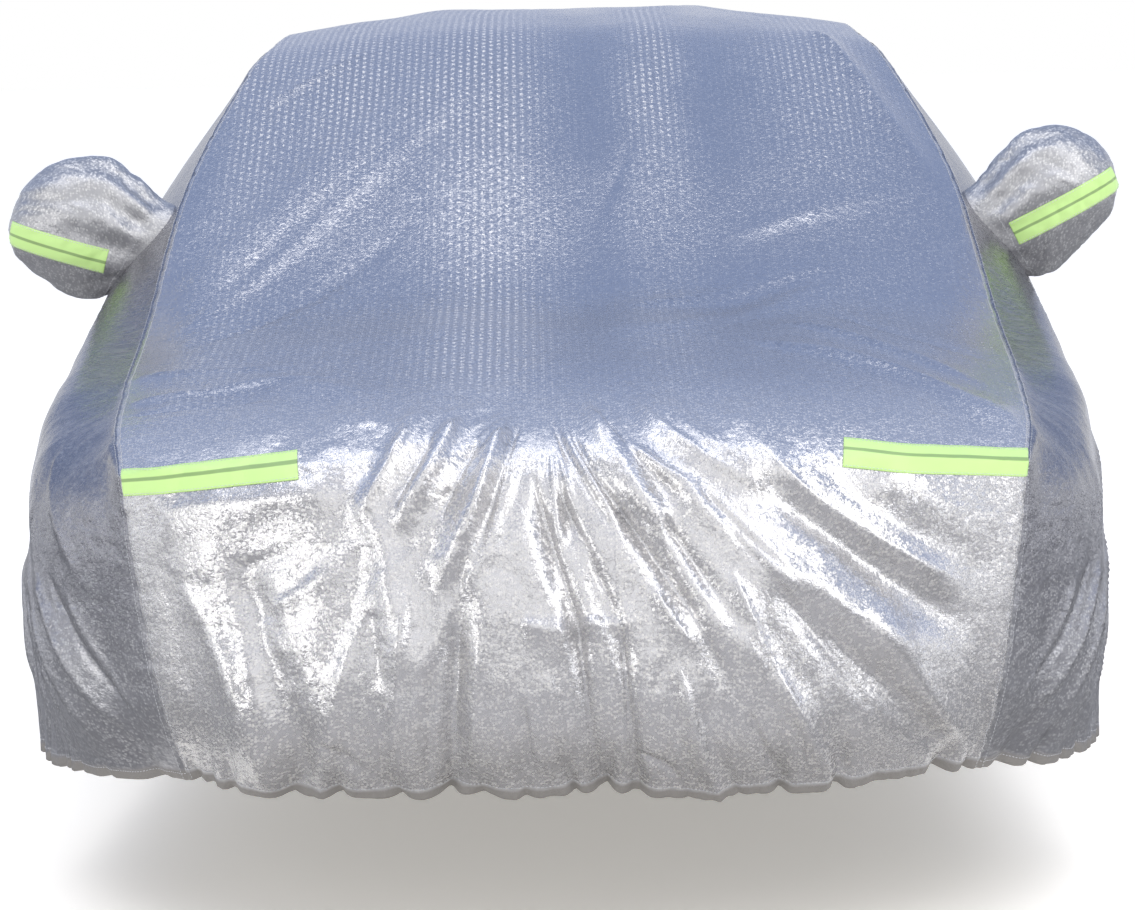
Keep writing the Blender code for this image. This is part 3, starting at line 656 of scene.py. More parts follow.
def wall_stations():
    """Stations of the columns of a side panel, closer together at the nose and the seams."""
    def density(station):
        line = np.full(len(station), PACE_LINE)
        metres = pace(lambda at, level: wall_points(level, at), station, line)
        ends = sum(np.exp(-((station - end) / 0.06) ** 2) for end in (FIRST_SEAM, LAST_SEAM))
        nose = 1.0 - smoothstep(FIRST_SEAM + 1.5, FIRST_SEAM + 3.5, station)
        return metres * (1.0 + 0.9 * nose + 3.0 * ends)
    return spread(density, WALL_COLUMNS, float(FIRST_SEAM), float(LAST_SEAM))


def toward_seam(normals, distance, station):
    """The normals, turned near the seam into those that both of its panels share."""
    share = 1.0 - smoothstep(0.0, SEAM_BLEND, distance)
    near = share > 0.0
    turned = normals.copy()
    shared = seam_normals(station[near])
    turned[near] = unit(normals[near] * (1.0 - share[near, None]) + shared * share[near, None])
    return turned


Sheet = namedtuple("Sheet", "places normals from_seam above_hem cloth rows")
# About how many metres to the top seam, as a share of the height, and how many metres the
# first section and the last one of a side panel are
LEVEL_METRES = 0.75
FIRST_METRES = 0.22
LAST_METRES = 0.28


def centre_sheet():
    """The middle panel before its folds, row by row from the front hem to the rear one."""
    rows, columns = centre_rows(), centre_columns()
    station, across = (grid.ravel() for grid in np.meshgrid(rows, columns, indexing="ij"))
    places = centre_points(station, across)
    flip = np.sign(across)[:, None] * [1.0, 0.0, 0.0] + [0.0, 1.0, 1.0]
    from_seam = (1.0 - np.abs(across)) * seam_points(station)[:, 0]
    normals = toward_seam(outward(centre_points, station, across) * flip, from_seam, station) * flip
    between = (rows[1:] + rows[:-1]) / 2
    length = running(pace(centre_points, between, np.full(len(between), PACE_LINE)) * np.diff(rows))
    down = np.repeat(length, len(columns))
    above_hem = np.minimum(down, length[-1] - down)
    cloth = np.stack([places[:, 0], down], axis=1)
    return Sheet(pulled(places), normals, from_seam, above_hem, cloth, len(rows))


def wall_sheet(side):
    """A side panel before its folds, row by row from the hem to the top seam."""
    rows, columns = wall_levels(), wall_stations()
    level, station = (grid.ravel() for grid in np.meshgrid(rows, columns, indexing="ij"))
    places = wall_points(level, station)
    flip = np.array([side, 1.0, 1.0])
    to_top = (1.0 - level) * (places[:, 2].max() * LEVEL_METRES)
    to_front = (station - FIRST_SEAM) * FIRST_METRES
    to_rear = (LAST_SEAM - station) * LAST_METRES
    from_seam = np.minimum(np.minimum(to_top, to_front), to_rear)
    up_the_end = np.interp(level, WALL_LEVELS, np.arange(4.0))
    ends = np.where(to_front < to_rear, up_the_end, LAST - up_the_end)
    nearest = np.where(to_top <= np.minimum(to_front, to_rear), station, ends)
    normals = toward_seam(outward(wall_points, level, station), from_seam, nearest) * flip
    hem = wall_points(np.zeros(len(station)), station)
    cloth = places[:, 1:] * [side, 1.0]
    return Sheet(pulled(places * flip), normals, from_seam, places[:, 2] - hem[:, 2], cloth, len(rows))


BROAD_HEIGHT = 0.0060
LARGE_HEIGHT = 0.0034
SMALL_HEIGHT = 0.0012


def crumpling(sheet, region):
    """The small random crumples of a panel, strongest at the nose and the hem."""
    x, y, z = sheet.places.T
    nose = (1.0 - smoothstep(0.45, 0.95, y)) * (1.0 - 0.6 * smoothstep(0.80, 0.90, z))
    strength = 0.22 + 0.78 * nose + 0.35 * (1.0 - smoothstep(0.05, 0.35, sheet.above_hem))
    strength = strength * smoothstep(0.0, 0.035, sheet.from_seam)
    a, b = (x, z + y * 0.7) if region == "centre" else (y, z)
    broad = rough(a + 3.0, b * 0.4, 0.085, 21) * BROAD_HEIGHT
    large = crumple(a, b * 0.6, 0.070, 31) * LARGE_HEIGHT
    small = crumple(a + 7.0, b * 0.8 + 3.0, 0.028, 41) * SMALL_HEIGHT
    return strength * (broad + large + small)


def finished(sheet, region):
    """The places of a panel with its folds, creases, pinches and puckers."""
    x, y, z = sheet.places.T
    height = lift(sheet.places, sheet.normals) + crumpling(sheet, region)
    inside = smoothstep(0.0, 0.04, sheet.from_seam)
    sideways = smoothstep(*SIDE_FACING, np.abs(sheet.normals[:, 0]))
    if region == "centre":
        creases = np.where(y < NOSE_END, crease_height(NOSE_CREASES, x, z) + fan_height(x, z), 0.0)
        height += creases * inside * (1.0 - sideways)
        height += crease_height(TOP_CREASES, x, y) * inside * smoothstep(*TOP_FACING, sheet.normals[:, 2])
        front = pinch_depth(NOSE_PINCHES, x, np.where(y < MIDDLE_Y, sheet.above_hem, FAR_OFF))
        rear = pinch_depth(TAIL_PINCHES, x, np.where(y > MIDDLE_Y, sheet.above_hem, FAR_OFF))
        drawn_in = front + rear
    else:
        left = region == "left"
        creases, hem = (LEFT_CREASES, LEFT_PINCHES) if left else (RIGHT_CREASES, RIGHT_PINCHES)
        height += crease_height(creases, y, z) * inside * sideways
        drawn_in = pinch_depth(hem, y, sheet.above_hem)
    ruffle = rough(sheet.cloth[:, 0] + y * (region == "centre"), sheet.above_hem * 0.25, RUFFLE_SIZE, 91)
    drawn_in += RUFFLE_DEPTH * (0.5 + 0.5 * ruffle) * np.exp(-sheet.above_hem / RUFFLE_REACH)
    drawn_in = drawn_in * smoothstep(0.0, 0.02, sheet.from_seam)
    groove = SEAM_DEPTH * np.exp(-(sheet.from_seam / SEAM_WIDTH) ** 2)
    pucker = PUCKER_DEPTH * rough(y + x * 0.6, z, 0.016, 51) * np.exp(-sheet.from_seam / PUCKER_REACH)
    places = sheet.places + sheet.normals * (height - groove + pucker - drawn_in)[:, None]
    places[:, 2] += PINCH_LIFT * drawn_in * np.exp(-sheet.above_hem / 0.03)
    return places


def turned_hem(sheet, first):
    """The rows of cloth turned inwards and a little up from a sheet's first or last row."""
    columns = len(sheet.places) // sheet.rows
    edge = slice(0, columns) if first else slice(-columns, None)
    inwards = -unit(sheet.normals[edge] * [1.0, 1.0, 0.0])
    shares = np.arange(1, HEM_TURN_ROWS + 1) / HEM_TURN_ROWS
    rows = []
    for share in shares[::-1] if first else shares:
        step = inwards * HEM_TURN * share
        step[:, 2] += HEM_TURN_RISE * share ** 2 - HEM_TURN_SAG * math.sin(math.pi * min(share * 2.0, 1.0))
        onwards = [0.0, HEM_TURN * share * (-1.0 if first else 1.0)]
        rows.append((
            sheet.places[edge] + step,
            sheet.normals[edge],
            sheet.from_seam[edge],
            np.full(columns, -HEM_TURN * share),
            sheet.cloth[edge] + onwards,
        ))
    return Sheet(*(np.concatenate(field) for field in zip(*rows)), HEM_TURN_ROWS)


def joined(*sheets):
    """The rows of the sheets as one sheet."""
    fields = zip(*(sheet[:-1] for sheet in sheets))
    return Sheet(*(np.concatenate(field) for field in fields), sum(sheet.rows for sheet in sheets))


def grid_faces(rows, columns, closed=False):
    """Corners of the faces between the rows of a grid of places."""
    first = np.arange(columns if closed else columns - 1)
    after = (first + 1) % columns
    low = np.arange(rows - 1)[:, None] * columns
    corners = [low + first, low + after, low + columns + after, low + columns + first]
    return np.stack(corners, axis=-1).reshape(-1, 4)


def add_mesh(name, places, faces, cloth, **values):
    """An object of the places and faces, with its cloth's own metres as its UV map."""
    mesh = bpy.data.meshes.new(name)
    mesh.from_pydata((places - ROOF_MOUNT).tolist(), [], faces.tolist())
    mesh.shade_smooth()
    corners = np.zeros(len(mesh.loops), np.int32)
    mesh.loops.foreach_get("vertex_index", corners)
    layer = mesh.uv_layers.new(name="cloth")
    layer.data.foreach_set("uv", cloth[corners].astype(np.float32).ravel())
    for label, value in values.items():
        attribute = mesh.attributes.new(label, "FLOAT", "POINT")
        attribute.data.foreach_set("value", np.asarray(value, np.float32))
    obj = bpy.data.objects.new(name, mesh)
    bpy.context.scene.collection.objects.link(obj)
    return obj


# ---------------------------------------------------------------- mirror pockets

Ring = namedtuple("Ring", "out centre_z half_y half_z tilt lean")
POCKET_RINGS = table(Ring, (
    (0.792, 1.03, 0.076, 0.08, 0.72, 0.2),
    (0.826, 1.038, 0.084, 0.092, 0.58, 0.15),
    (0.856, 1.056, 0.094, 0.112, 0.38, 0.08),
    (0.888, 1.073, 0.1, 0.128, 0.24, 0.04),
    (0.93, 1.082, 0.098, 0.124, 0.14, 0.0),
    (0.97, 1.084, 0.088, 0.106, 0.06, 0.0),
    (1.005, 1.08, 0.07, 0.08, 0.0, 0.0),
    (1.03, 1.073, 0.042, 0.046, 0.0, 0.0),
    (1.042, 1.073, 0.0, 0.0, 0.0, 0.0),
))
POCKET_Y = 1.650
POCKET_RISE = {"left": 0.0, "right": 0.19}
POCKET_ROWS = 90
POCKET_COLUMNS = 144
POCKET_NORMAL_STEP = 0.0005
POCKET_STITCH_ROW = 9
POCKET_TIP = len(POCKET_RINGS) - 1.001
POCKET_GIRTH = 0.66
# Heights of a pocket's folds round its mouth, its soft folds and its fine crumples
POCKET_FAN = 0.0050
POCKET_SOFT = 0.0040
POCKET_FINE = 0.0012
MOUTH_EDGE = 0.97


def pocket_points(side, rise, ring, turn):
    """Points of a mirror pocket: ring counts from its mouth to its tip, turn is an angle."""
    rings = through(np.arange(len(POCKET_RINGS)), POCKET_RINGS, ring)
    out, centre_z, half_y, half_z, tilt, lean = rings.T
    up, back = half_z * np.sin(turn), half_y * np.cos(turn)
    x = side * (out - tilt * up + lean * back)
    z = centre_z + rise * (out - POCKET_RINGS[0].out) + up
    return pulled(np.stack([x, POCKET_Y + back, z], axis=1))


def pocket_sheet(side, rise):
    """A mirror pocket with its soft folds, ring by ring from the mouth to the tip."""
    rings = np.linspace(0.0, 1.0, POCKET_ROWS)
    rings = POCKET_TIP * (1.0 - (1.0 - rings) ** 1.25)
    turns = np.arange(POCKET_COLUMNS) * 2.0 * math.pi / POCKET_COLUMNS
    ring, turn = (grid.ravel() for grid in np.meshgrid(rings, turns, indexing="ij"))
    step = POCKET_NORMAL_STEP

    def points(rings, turns):
        return pocket_points(side, rise, rings, turns)

    places = points(ring, turn)
    along = points(np.minimum(ring + step, POCKET_TIP), turn) - points(np.maximum(ring - step, 0.0), turn)
    around = points(ring, turn + step) - points(ring, turn - step)
    normals = unit(np.cross(around, along)) * side
    mouth = (1.0 - smoothstep(1.5, 6.5, ring)) * smoothstep(0.4, 1.5, ring)
    fan = np.sin(turn * 9.0 + 1.3 * np.sin(turn * 2.0 + 0.7)) * POCKET_FAN * mouth
    x, y, z = places.T
    soft = crumple(z * 1.3 + 4.0, x * 0.6 + y, 0.050, 61) * POCKET_SOFT
    fine = crumple(z + 9.0, x + y, 0.021, 71) * POCKET_FINE
    height = fan + (soft + fine) * smoothstep(0.3, 1.2, ring)
    cloth = np.stack([turn / (2.0 * math.pi) * POCKET_GIRTH, np.abs(x) - POCKET_RINGS[0].out], axis=1)
    folded = places + normals * height[:, None]
    return Sheet(folded, normals, ring * 0.03, np.full(len(ring), 1.0), cloth, POCKET_ROWS)


def in_pocket_mouth(places, side, rise):
    """How far places of a side panel lie from the middle of the pocket there: 1 on its sheet."""
    unpulled = places[:, 0] - pull_at(places[:, 0], places[:, 1])
    x, back = np.abs(unpulled), places[:, 1] - POCKET_Y
    out = x.copy()
    knots, *columns = zip(*POCKET_RINGS)
    for _ in range(8):
        rings = [np.interp(out, knots, column) for column in columns]
        centre_z, half_y, half_z, tilt, lean = rings
        up = places[:, 2] - centre_z - rise * (out - POCKET_RINGS[0].out)
        out = x + tilt * up - lean * back
    apart = np.hypot(back / np.maximum(half_y, 1e-4), up / np.maximum(half_z, 1e-4))
    near = (np.abs(back) < 0.2) & (np.abs(up) < 0.25) & (places[:, 0] * side > 0)
    return np.where(near, apart, FAR_OFF)


def with_opening(faces, places, side, rise):
    """The faces of a side panel without those inside the pocket's mouth."""
    inside = in_pocket_mouth(places, side, rise) < MOUTH_EDGE
    return faces[~inside[faces].all(axis=1)]


# ---------------------------------------------------------------- reflective strips

Strip = namedtuple("Strip", "name x_a z_a x_b z_b width")
HOOD_STRIPS = table(Strip, (
    ("strip_hood_left", -0.674, 0.758, -0.386, 0.798, 0.04),
    ("strip_hood_right", 0.752, 0.765, 0.457, 0.802, 0.04),
))
POCKET_STRIPS = table(Strip, (
    ("strip_mirror_left", -1.034, 1.07, -0.85, 1.016, 0.046),
    ("strip_mirror_right", 1.034, 1.136, 0.84, 1.038, 0.046),
))
STRIP_ROWS = 17
STRIP_COLUMNS = 120
STRIP_THICKNESS = 0.0012
STRIP_CLEARANCE = 0.0006
ROUND_STEP = 0.0008
STRIP_SAMPLES = 400
# Where the rays that find the cloth under a strip start
POCKET_CAST_Y = 1.2
HOOD_CAST_Y = -1.0
# How far from a strip's edge it is at its full thickness, and its share of that at the edge
STRIP_ROUND = 0.002
STRIP_EDGE = 0.35


def surface_of(*objects):
    """The faces of the objects, ready for ray casts in the row frame."""
    corners, faces = [], []
    for obj in objects:
        first = len(corners)
        corners += [vertex.co.copy() for vertex in obj.data.vertices]
        faces += [[first + corner for corner in face.vertices] for face in obj.data.polygons]
    return BVHTree.FromPolygons(corners, faces)


def strip_line(surface, strip, shares, aside, start_y):
    """Where a line of the strip lies on the surface, seen from the front."""
    run = np.array([strip.x_b - strip.x_a, strip.z_b - strip.z_a])
    across = np.array([-run[1], run[0]]) / np.hypot(*run) * strip.width * aside
    places = np.full((len(shares), 3), np.nan)
    normals = np.full((len(shares), 3), np.nan)
    for i, share in enumerate(shares):
        x, z = np.array([strip.x_a, strip.z_a]) + run * share + across
        origin = Vector((x, start_y, z)) - Vector(ROOF_MOUNT)
        place, normal, _, _ = surface.ray_cast(origin, Vector((0.0, 1.0, 0.0)))
        if place is not None:
            places[i] = np.array(place) + ROOF_MOUNT
            normals[i] = np.array(normal) * (-1.0 if normal.y > 0.0 else 1.0)
    # The ends that pass the cloth's outline go on round it
    hits = np.flatnonzero(~np.isnan(places[:, 0]))
    nearest = hits[np.abs(np.arange(len(shares))[:, None] - hits).argmin(axis=1)]
    beyond = np.abs(np.arange(len(shares)) - nearest)
    return places[nearest] + beyond[:, None] * [0.0, ROUND_STEP, 0.0], normals[nearest]


def arc_length(places):
    """How far along a line each of its places is."""
    return running(np.linalg.norm(np.diff(places, axis=0), axis=1))


def add_strip(surface, strip, start_y):
    """A band of tape laid on the surface, closed all round, with its length and width."""
    dense = np.linspace(0.0, 1.0, STRIP_SAMPLES)
    length = arc_length(strip_line(surface, strip, dense, 0.0, start_y)[0])
    shares = np.interp(np.linspace(0.0, length[-1], STRIP_COLUMNS), length, dense)
    sides = np.linspace(-0.5, 0.5, STRIP_ROWS)
    lines = [strip_line(surface, strip, shares, aside, start_y) for aside in sides]
    places, normals = (np.array(part) for part in zip(*lines))
    for _ in range(3):
        normals[:, 1:-1] = unit(normals[:, 1:-1] * 2.0 + normals[:, :-2] + normals[:, 2:])
    width = arc_length(places[:, STRIP_COLUMNS // 2])
    grid = np.meshgrid(width, np.linspace(0.0, length[-1], STRIP_COLUMNS), indexing="ij")
    across, along = (values.ravel() for values in grid)
    to_edge = np.minimum(across, width[-1] - across)
    puffed = STRIP_THICKNESS * np.clip(to_edge / STRIP_ROUND, STRIP_EDGE, 1.0)
    places, normals = places.reshape(-1, 3), normals.reshape(-1, 3)
    top = places + normals * (STRIP_CLEARANCE + puffed)[:, None]
    bottom = places + normals * STRIP_CLEARANCE
    faces = grid_faces(STRIP_ROWS, STRIP_COLUMNS)
    count = len(places)
    index = np.arange(count).reshape(STRIP_ROWS, STRIP_COLUMNS)
    rim = np.concatenate([index[0, :-1], index[:-1, -1], index[-1, :0:-1], index[:0:-1, 0]])
    after = np.roll(rim, -1)
    walls = np.stack([rim, after, after + count, rim + count], axis=1)
    all_faces = np.concatenate([faces[:, ::-1], faces + count, walls])
    cloth = np.tile(np.stack([along, across / width[-1]], axis=1), (2, 1))
    band = add_mesh(strip.name + "_tape", np.concatenate([top, bottom]), all_faces, cloth)
    shown, facing = (grid.reshape(STRIP_ROWS, STRIP_COLUMNS, 3) for grid in (top, normals))
    edges = [(shown[row, 1:-1], facing[row, 1:-1]) for row in (1, -2)]
    stitching = add_stitches(strip.name + "_stitching", edges)
    return band, stitching, (float(length[-1]), float(width[-1]))


# ---------------------------------------------------------------- stitching

STITCH_PITCH = 0.006
STITCH_LENGTH = 0.0044
STITCH_RADIUS = 0.0005
STITCH_LIFT = 0.0002
STITCH_FROM_SEAM = 0.007
STITCH_ABOVE_HEM = 0.019
# Places along a stitch and how thick it is there, as shares of its length and radius
STITCH_RINGS = ((-0.32, 1.0), (0.32, 1.0))


def at_lengths(line, length, at):
    """The places of a line at some lengths along it."""
    return np.stack([np.interp(at, length, line[:, i]) for i in range(3)], axis=1)


def add_stitches(name, lines):
    """Short closed threads at even steps along lines of places and their normals."""
    corners, faces, cloth = [], [], []
    for places, normals in lines:
        # Each stitch has ten corners: its two ends, and four round it at each ring
        length = arc_length(places)
        count = int(length[-1] / STITCH_PITCH)
        at = (np.arange(count) + 0.5) * length[-1] / count
        middle = at_lengths(places, length, at)
        out = unit(at_lengths(normals, length, at))
        ahead = unit(at_lengths(places, length, at + 0.001) - at_lengths(places, length, at - 0.001))
        aside = unit(np.cross(out, ahead))
        middle = middle + out * STITCH_LIFT
        half = ahead * STITCH_LENGTH / 2
        rings = [middle - half]
        for share, thick in STITCH_RINGS:
            for way in (out, aside, -out, -aside):
                rings.append(middle + ahead * STITCH_LENGTH * share + way * STITCH_RADIUS * thick)
        rings.append(middle + half)
        first = sum(len(group) for group in corners)
        corners.append(np.stack(rings, axis=1).reshape(-1, 3))
        cloth.append(np.stack([np.repeat(at, 10), np.tile(np.arange(10) * 0.25, count)], axis=1))
        starts = first + np.arange(count)[:, None] * 10
        for i in range(4):
            after = (i + 1) % 4
            for face in (
                (0, 1 + after, 1 + i), (1 + i, 1 + after, 5 + after),
                (1 + i, 5 + after, 5 + i), (5 + i, 5 + after, 9),
            ):
                faces.append(starts + face)
    return add_mesh(name, np.concatenate(corners), np.concatenate(faces), np.concatenate(cloth))


def stitch_lines(sheet, region):
    """The rows of stitching of a panel: beside its seams and above its hem."""
    columns = len(sheet.places) // sheet.rows
    places, normals = (part.reshape(sheet.rows, columns, 3) for part in sheet[:2])
    from_seam, above_hem = (part.reshape(sheet.rows, columns) for part in sheet[2:4])
    middle = (sheet.rows // 2, columns // 2)
    beside = np.flatnonzero(from_seam[middle[0]] > STITCH_FROM_SEAM)
    lines = [(places[:, i], normals[:, i]) for i in (beside[0], beside[-1])]
    above = np.flatnonzero(above_hem[:, middle[1]] > STITCH_ABOVE_HEM)
    lines.append((places[above[0]], normals[above[0]]))
    if region == "centre":
        lines.append((places[above[-1]], normals[above[-1]]))
    else:
        below = np.flatnonzero(from_seam[:, middle[1]] > STITCH_FROM_SEAM)[-1]
        lines.append((places[below], normals[below]))
    return lines


# ---------------------------------------------------------------- materials

class Signal:
    """A shader value whose sums and products become math nodes."""

    def __init__(self, shader, socket):
        self.shader = shader
        self.socket = socket

    def maths(self, operation, *others):
        return self.shader.maths(operation, self, *others)

    def __add__(self, other):
        return self.maths("ADD", other)

    def __sub__(self, other):
        return self.maths("SUBTRACT", other)

    def __mul__(self, other):
        return self.maths("MULTIPLY", other)

    def __truediv__(self, other):
        return self.maths("DIVIDE", other)

    def __rsub__(self, other):
        return self.shader.maths("SUBTRACT", other, self)

    __radd__ = __add__
    __rmul__ = __mul__

    def fraction(self):
        return self.maths("FRACT")

    def floor(self):
        return self.maths("FLOOR")

    def absolute(self):
        return self.maths("ABSOLUTE")

    def step(self, low, high):
        """0 below low, 1 above high, and a smooth rise between."""
        smooth = {"interpolation_type": "SMOOTHSTEP"}
        limits = {"From Min": low, "From Max": high}
        return self.shader.node("ShaderNodeMapRange", 0, smooth, Value=self, **limits)


class Shader:
    """A material that is built up from signals."""

    def __init__(self, name):
        self.material = bpy.data.materials.new(name)
        self.material.use_nodes = True
        self.tree = self.material.node_tree
        self.surface = self.tree.nodes["Principled BSDF"]

    def connect(self, socket, value):
        """A signal or a constant put into a socket."""
        if isinstance(value, Signal):
            self.tree.links.new(value.socket, socket)
        else:
            socket.default_value = value

    def node(self, kind, output=0, settings=None, **values):
        """A new node with its settings and inputs, as the signal of one of its outputs."""
        made = self.tree.nodes.new(kind)
        for name, value in (settings or {}).items():
            setattr(made, name, value)
        for name, value in values.items():
            self.connect(made.inputs[name], value)
        return Signal(self, made.outputs[output])

    def maths(self, operation, *values):
        """A math node of the values."""
        made = self.tree.nodes.new("ShaderNodeMath")
        made.operation = operation
        for socket, value in zip(made.inputs, values):
            self.connect(socket, value)
        return Signal(self, made.outputs[0])

    def cloth(self):
        """A place of the flat cloth in its own metres, and its two parts."""
        place = self.node("ShaderNodeUVMap", settings={"uv_map": "cloth"})
        return (place, *(self.node("ShaderNodeSeparateXYZ", i, Vector=place) for i in (0, 1)))

    def noise(self, place, scale, detail, roughness):
        """Noise between 0 and 1 on the flat cloth."""
        settings = {"noise_dimensions": "2D"}
        inputs = {"Scale": scale, "Detail": detail, "Roughness": roughness}
        return self.node("ShaderNodeTexNoise", 0, settings, Vector=place, **inputs)

    def specks(self, place, scale):
        """Small cells on the flat cloth: how far from its middle each place is, and the
        red and the green of each cell's own random colour."""
        made = self.tree.nodes.new("ShaderNodeTexVoronoi")
        made.voronoi_dimensions = "2D"
        self.connect(made.inputs["Vector"], place)
        self.connect(made.inputs["Scale"], scale)
        colour = Signal(self, made.outputs["Color"])
        red = self.node("ShaderNodeSeparateColor", 0, Color=colour)
        green = self.node("ShaderNodeSeparateColor", 1, Color=colour)
        return Signal(self, made.outputs["Distance"]), red, green

    def blend(self, first, second, share):
        """A colour between two, by a share from 0 to 1."""
        made = self.tree.nodes.new("ShaderNodeMix")
        made.data_type = "RGBA"
        self.connect(made.inputs[0], share)
        for place, colour in ((6, first), (7, second)):
            self.connect(made.inputs[place], colour if isinstance(colour, Signal) else (*colour, 1.0))
        return Signal(self, made.outputs[2])

    def finish(self, **values):
        """The signals and constants put into the surface, by the names of its inputs."""
        for name, value in values.items():
            self.connect(self.surface.inputs[name.replace("_", " ")], value)
        return self.material


ROW_PITCH = 0.0145
DASH_PITCH = 0.024
SPECK_SCALE = 240.0
FACET_TILT = 0.11
FLAKE_SCALE = 430.0
CRINKLE_SCALE = 46.0
PATCH_SCALE = 5.0
FLAKE_HEIGHT = 0.0003
CRINKLE_HEIGHT = 0.0022
# The hem band's own non-metal colour, darkened further as painted shade under the cover's edge
HEM_COLOUR_AND_SHADE = (0.21, 0.20, 0.19)
# Where the top's painted shade begins, along the cloth: from the front hem on the middle panel, above the
# ground on a side panel. Below it the film is painted lighter
SILVER_SHADED_TOP = (0.60, 0.95)
SIDE_SHADED_TOP = (0.38, 0.70)

# Lengthwise bands in which the film glitters more: their middle and half width, in metres
# from the middle of the panel, how much, and the share of it low on the front slope
BANDS_RISE = (1.75, 2.40)
Band = namedtuple("Band", "place half_width more low")
BANDS = table(Band, (
    (-0.62, 0.13, 1.25, 0.6),
    (-0.42, 0.26, 1.75, 0.3),
    (-0.16, 0.2, 1.8, 0.8),
    (0.155, 0.11, 1.6, 0.3),
    (0.48, 0.22, 1.25, 0.2),
))


# Name, bright and dull colour, bands, where the painted shade of the top begins, glitter and roughness
FILMS = (
    ("silver film", (0.80, 0.775, 0.74), (0.50, 0.50, 0.52), BANDS, SILVER_SHADED_TOP, 1.0, 0.20),
    # The side panels' film: the silver film made darker and slightly bluer, as painted shade and a touch of
    # painted blue sky reflection
    ("plainer film", (0.64, 0.64, 0.64), (0.27, 0.27, 0.295), (), SIDE_SHADED_TOP, 0.9, 0.26),
    ("pouch film", (0.76, 0.76, 0.75), (0.32, 0.32, 0.34), (), SILVER_SHADED_TOP, 1.0, 0.32),
)


def film(name, bright, dull, bands, shaded_top, glitter, roughness):
    """Silver film cloth: glittering specks in lengthwise rows, over soft crinkles, with painted shade on
    its top and painted light on its front.
    """
    shader = Shader(name)
    uv, u, v = shader.cloth()
    above_hem = shader.node("ShaderNodeAttribute", "Fac", settings={"attribute_name": "above_hem"})
    plain = above_hem.step(0.010, 0.022)
    off_row = ((u / ROW_PITCH).fraction() - 0.5).absolute()
    off_dash = ((v / DASH_PITCH + (u / ROW_PITCH).floor() * 0.5).fraction() - 0.5).absolute()
    row = (1.0 - off_row.step(0.08, 0.38)) * (1.0 - 0.85 * off_dash.step(0.16, 0.36))
    apart, chance, other = shader.specks(uv, SPECK_SCALE)
    flake = shader.noise(uv, FLAKE_SCALE, 1.0, 0.5)
    crinkle = shader.noise(uv, CRINKLE_SCALE, 4.0, 0.62)
    patch = shader.noise(uv, PATCH_SCALE, 3.0, 0.5)
    more = patch * 0.25
    # Painted shade and light: the top gets fewer specks and is darker, the front or low part below it is
    # painted lighter
    on_top = v.step(*shaded_top)
    high = v.step(*BANDS_RISE)
    for band in bands:
        aside = (u - band.place + patch * 0.08 - 0.04).absolute()
        inside = 1.0 - aside.step(0.0, band.half_width)
        more = more + inside * (band.low + (1.0 - band.low) * high) * band.more * on_top
    rowed = 0.10 + (0.35 + 0.25 * more) * on_top
    spark = (chance + 0.30 * more).step(0.30, 1.05) * (1.0 - apart.step(0.25, 0.65))
    sparse = 1.0 - on_top * (0.70 - 0.60 * more) - (1.0 - on_top) * (0.9 * patch - 0.25)
    fleck = spark * (1.0 - rowed * (1.0 - row)) * sparse * glitter
    # Painted light: the front or low part is lifted towards the bright colour; the hem band gets none
    fleck = (fleck * (0.60 + 0.40 * on_top) + 0.22 * (1.0 - on_top)) * plain
    relief = flake * FLAKE_HEIGHT + (crinkle - 0.5).absolute() * CRINKLE_HEIGHT
    facing = shader.node("ShaderNodeCombineXYZ", X=chance, Y=other, Z=1.0)
    tilt = FACET_TILT * glitter * sparse
    facets = shader.node("ShaderNodeNormalMap", Color=facing, Strength=tilt)
    bump = shader.node("ShaderNodeBump", Height=relief, Strength=1.0, Distance=1.0, Normal=facets)
    cloth = shader.blend(dull, bright, fleck)
    return shader.finish(
        # The hem band takes its own colour, darkened as painted shade
        Base_Color=shader.blend(HEM_COLOUR_AND_SHADE, cloth, plain),
        Metallic=0.92 - 0.34 * fleck - 0.70 * (1.0 - plain),
        Roughness=roughness + fleck * 0.20 + more * 0.06 + 0.35 * (1.0 - plain),
        Normal=bump,
    )


TAPE_COLOUR = (0.46, 0.68, 0.24)
TAPE_LINE = (0.17, 0.27, 0.10)
WEAVE_PITCH = 0.0022
WEAVE_ROWS = 22.0


def tape(name):
    """Yellow-green reflective tape with a darker middle line and stitched edges."""
    shader = Shader(name)
    _, along, across = shader.cloth()
    line = 1.0 - (across - 0.5).absolute().step(0.040, 0.070)
    warp = ((along / WEAVE_PITCH).fraction() - 0.5).absolute()
    weave = warp + ((across * WEAVE_ROWS).fraction() - 0.5).absolute()
    colour = shader.blend(TAPE_COLOUR, TAPE_LINE, line * 0.85)
    bump = shader.node("ShaderNodeBump", Height=weave * 0.0003, Strength=0.6, Distance=1.0)
    return shader.finish(Base_Color=colour, Roughness=0.38, Normal=bump)


THREAD_COLOURS = ((0.40, 0.41, 0.43), (0.66, 0.67, 0.70))
TWISTS = 1200.0


def thread(name):
    """Grey sewing thread with its twist."""
    shader = Shader(name)
    _, along, around = shader.cloth()
    twist = ((along * TWISTS + around).fraction() - 0.5).absolute() * 2.0
    bump = shader.node("ShaderNodeBump", Height=twist * 0.0001, Strength=0.6, Distance=1.0)
    return shader.finish(
        Base_Color=shader.blend(*THREAD_COLOURS, twist),
        Roughness=0.55,
        Normal=bump,
    )


# ---------------------------------------------------------------- light and ground

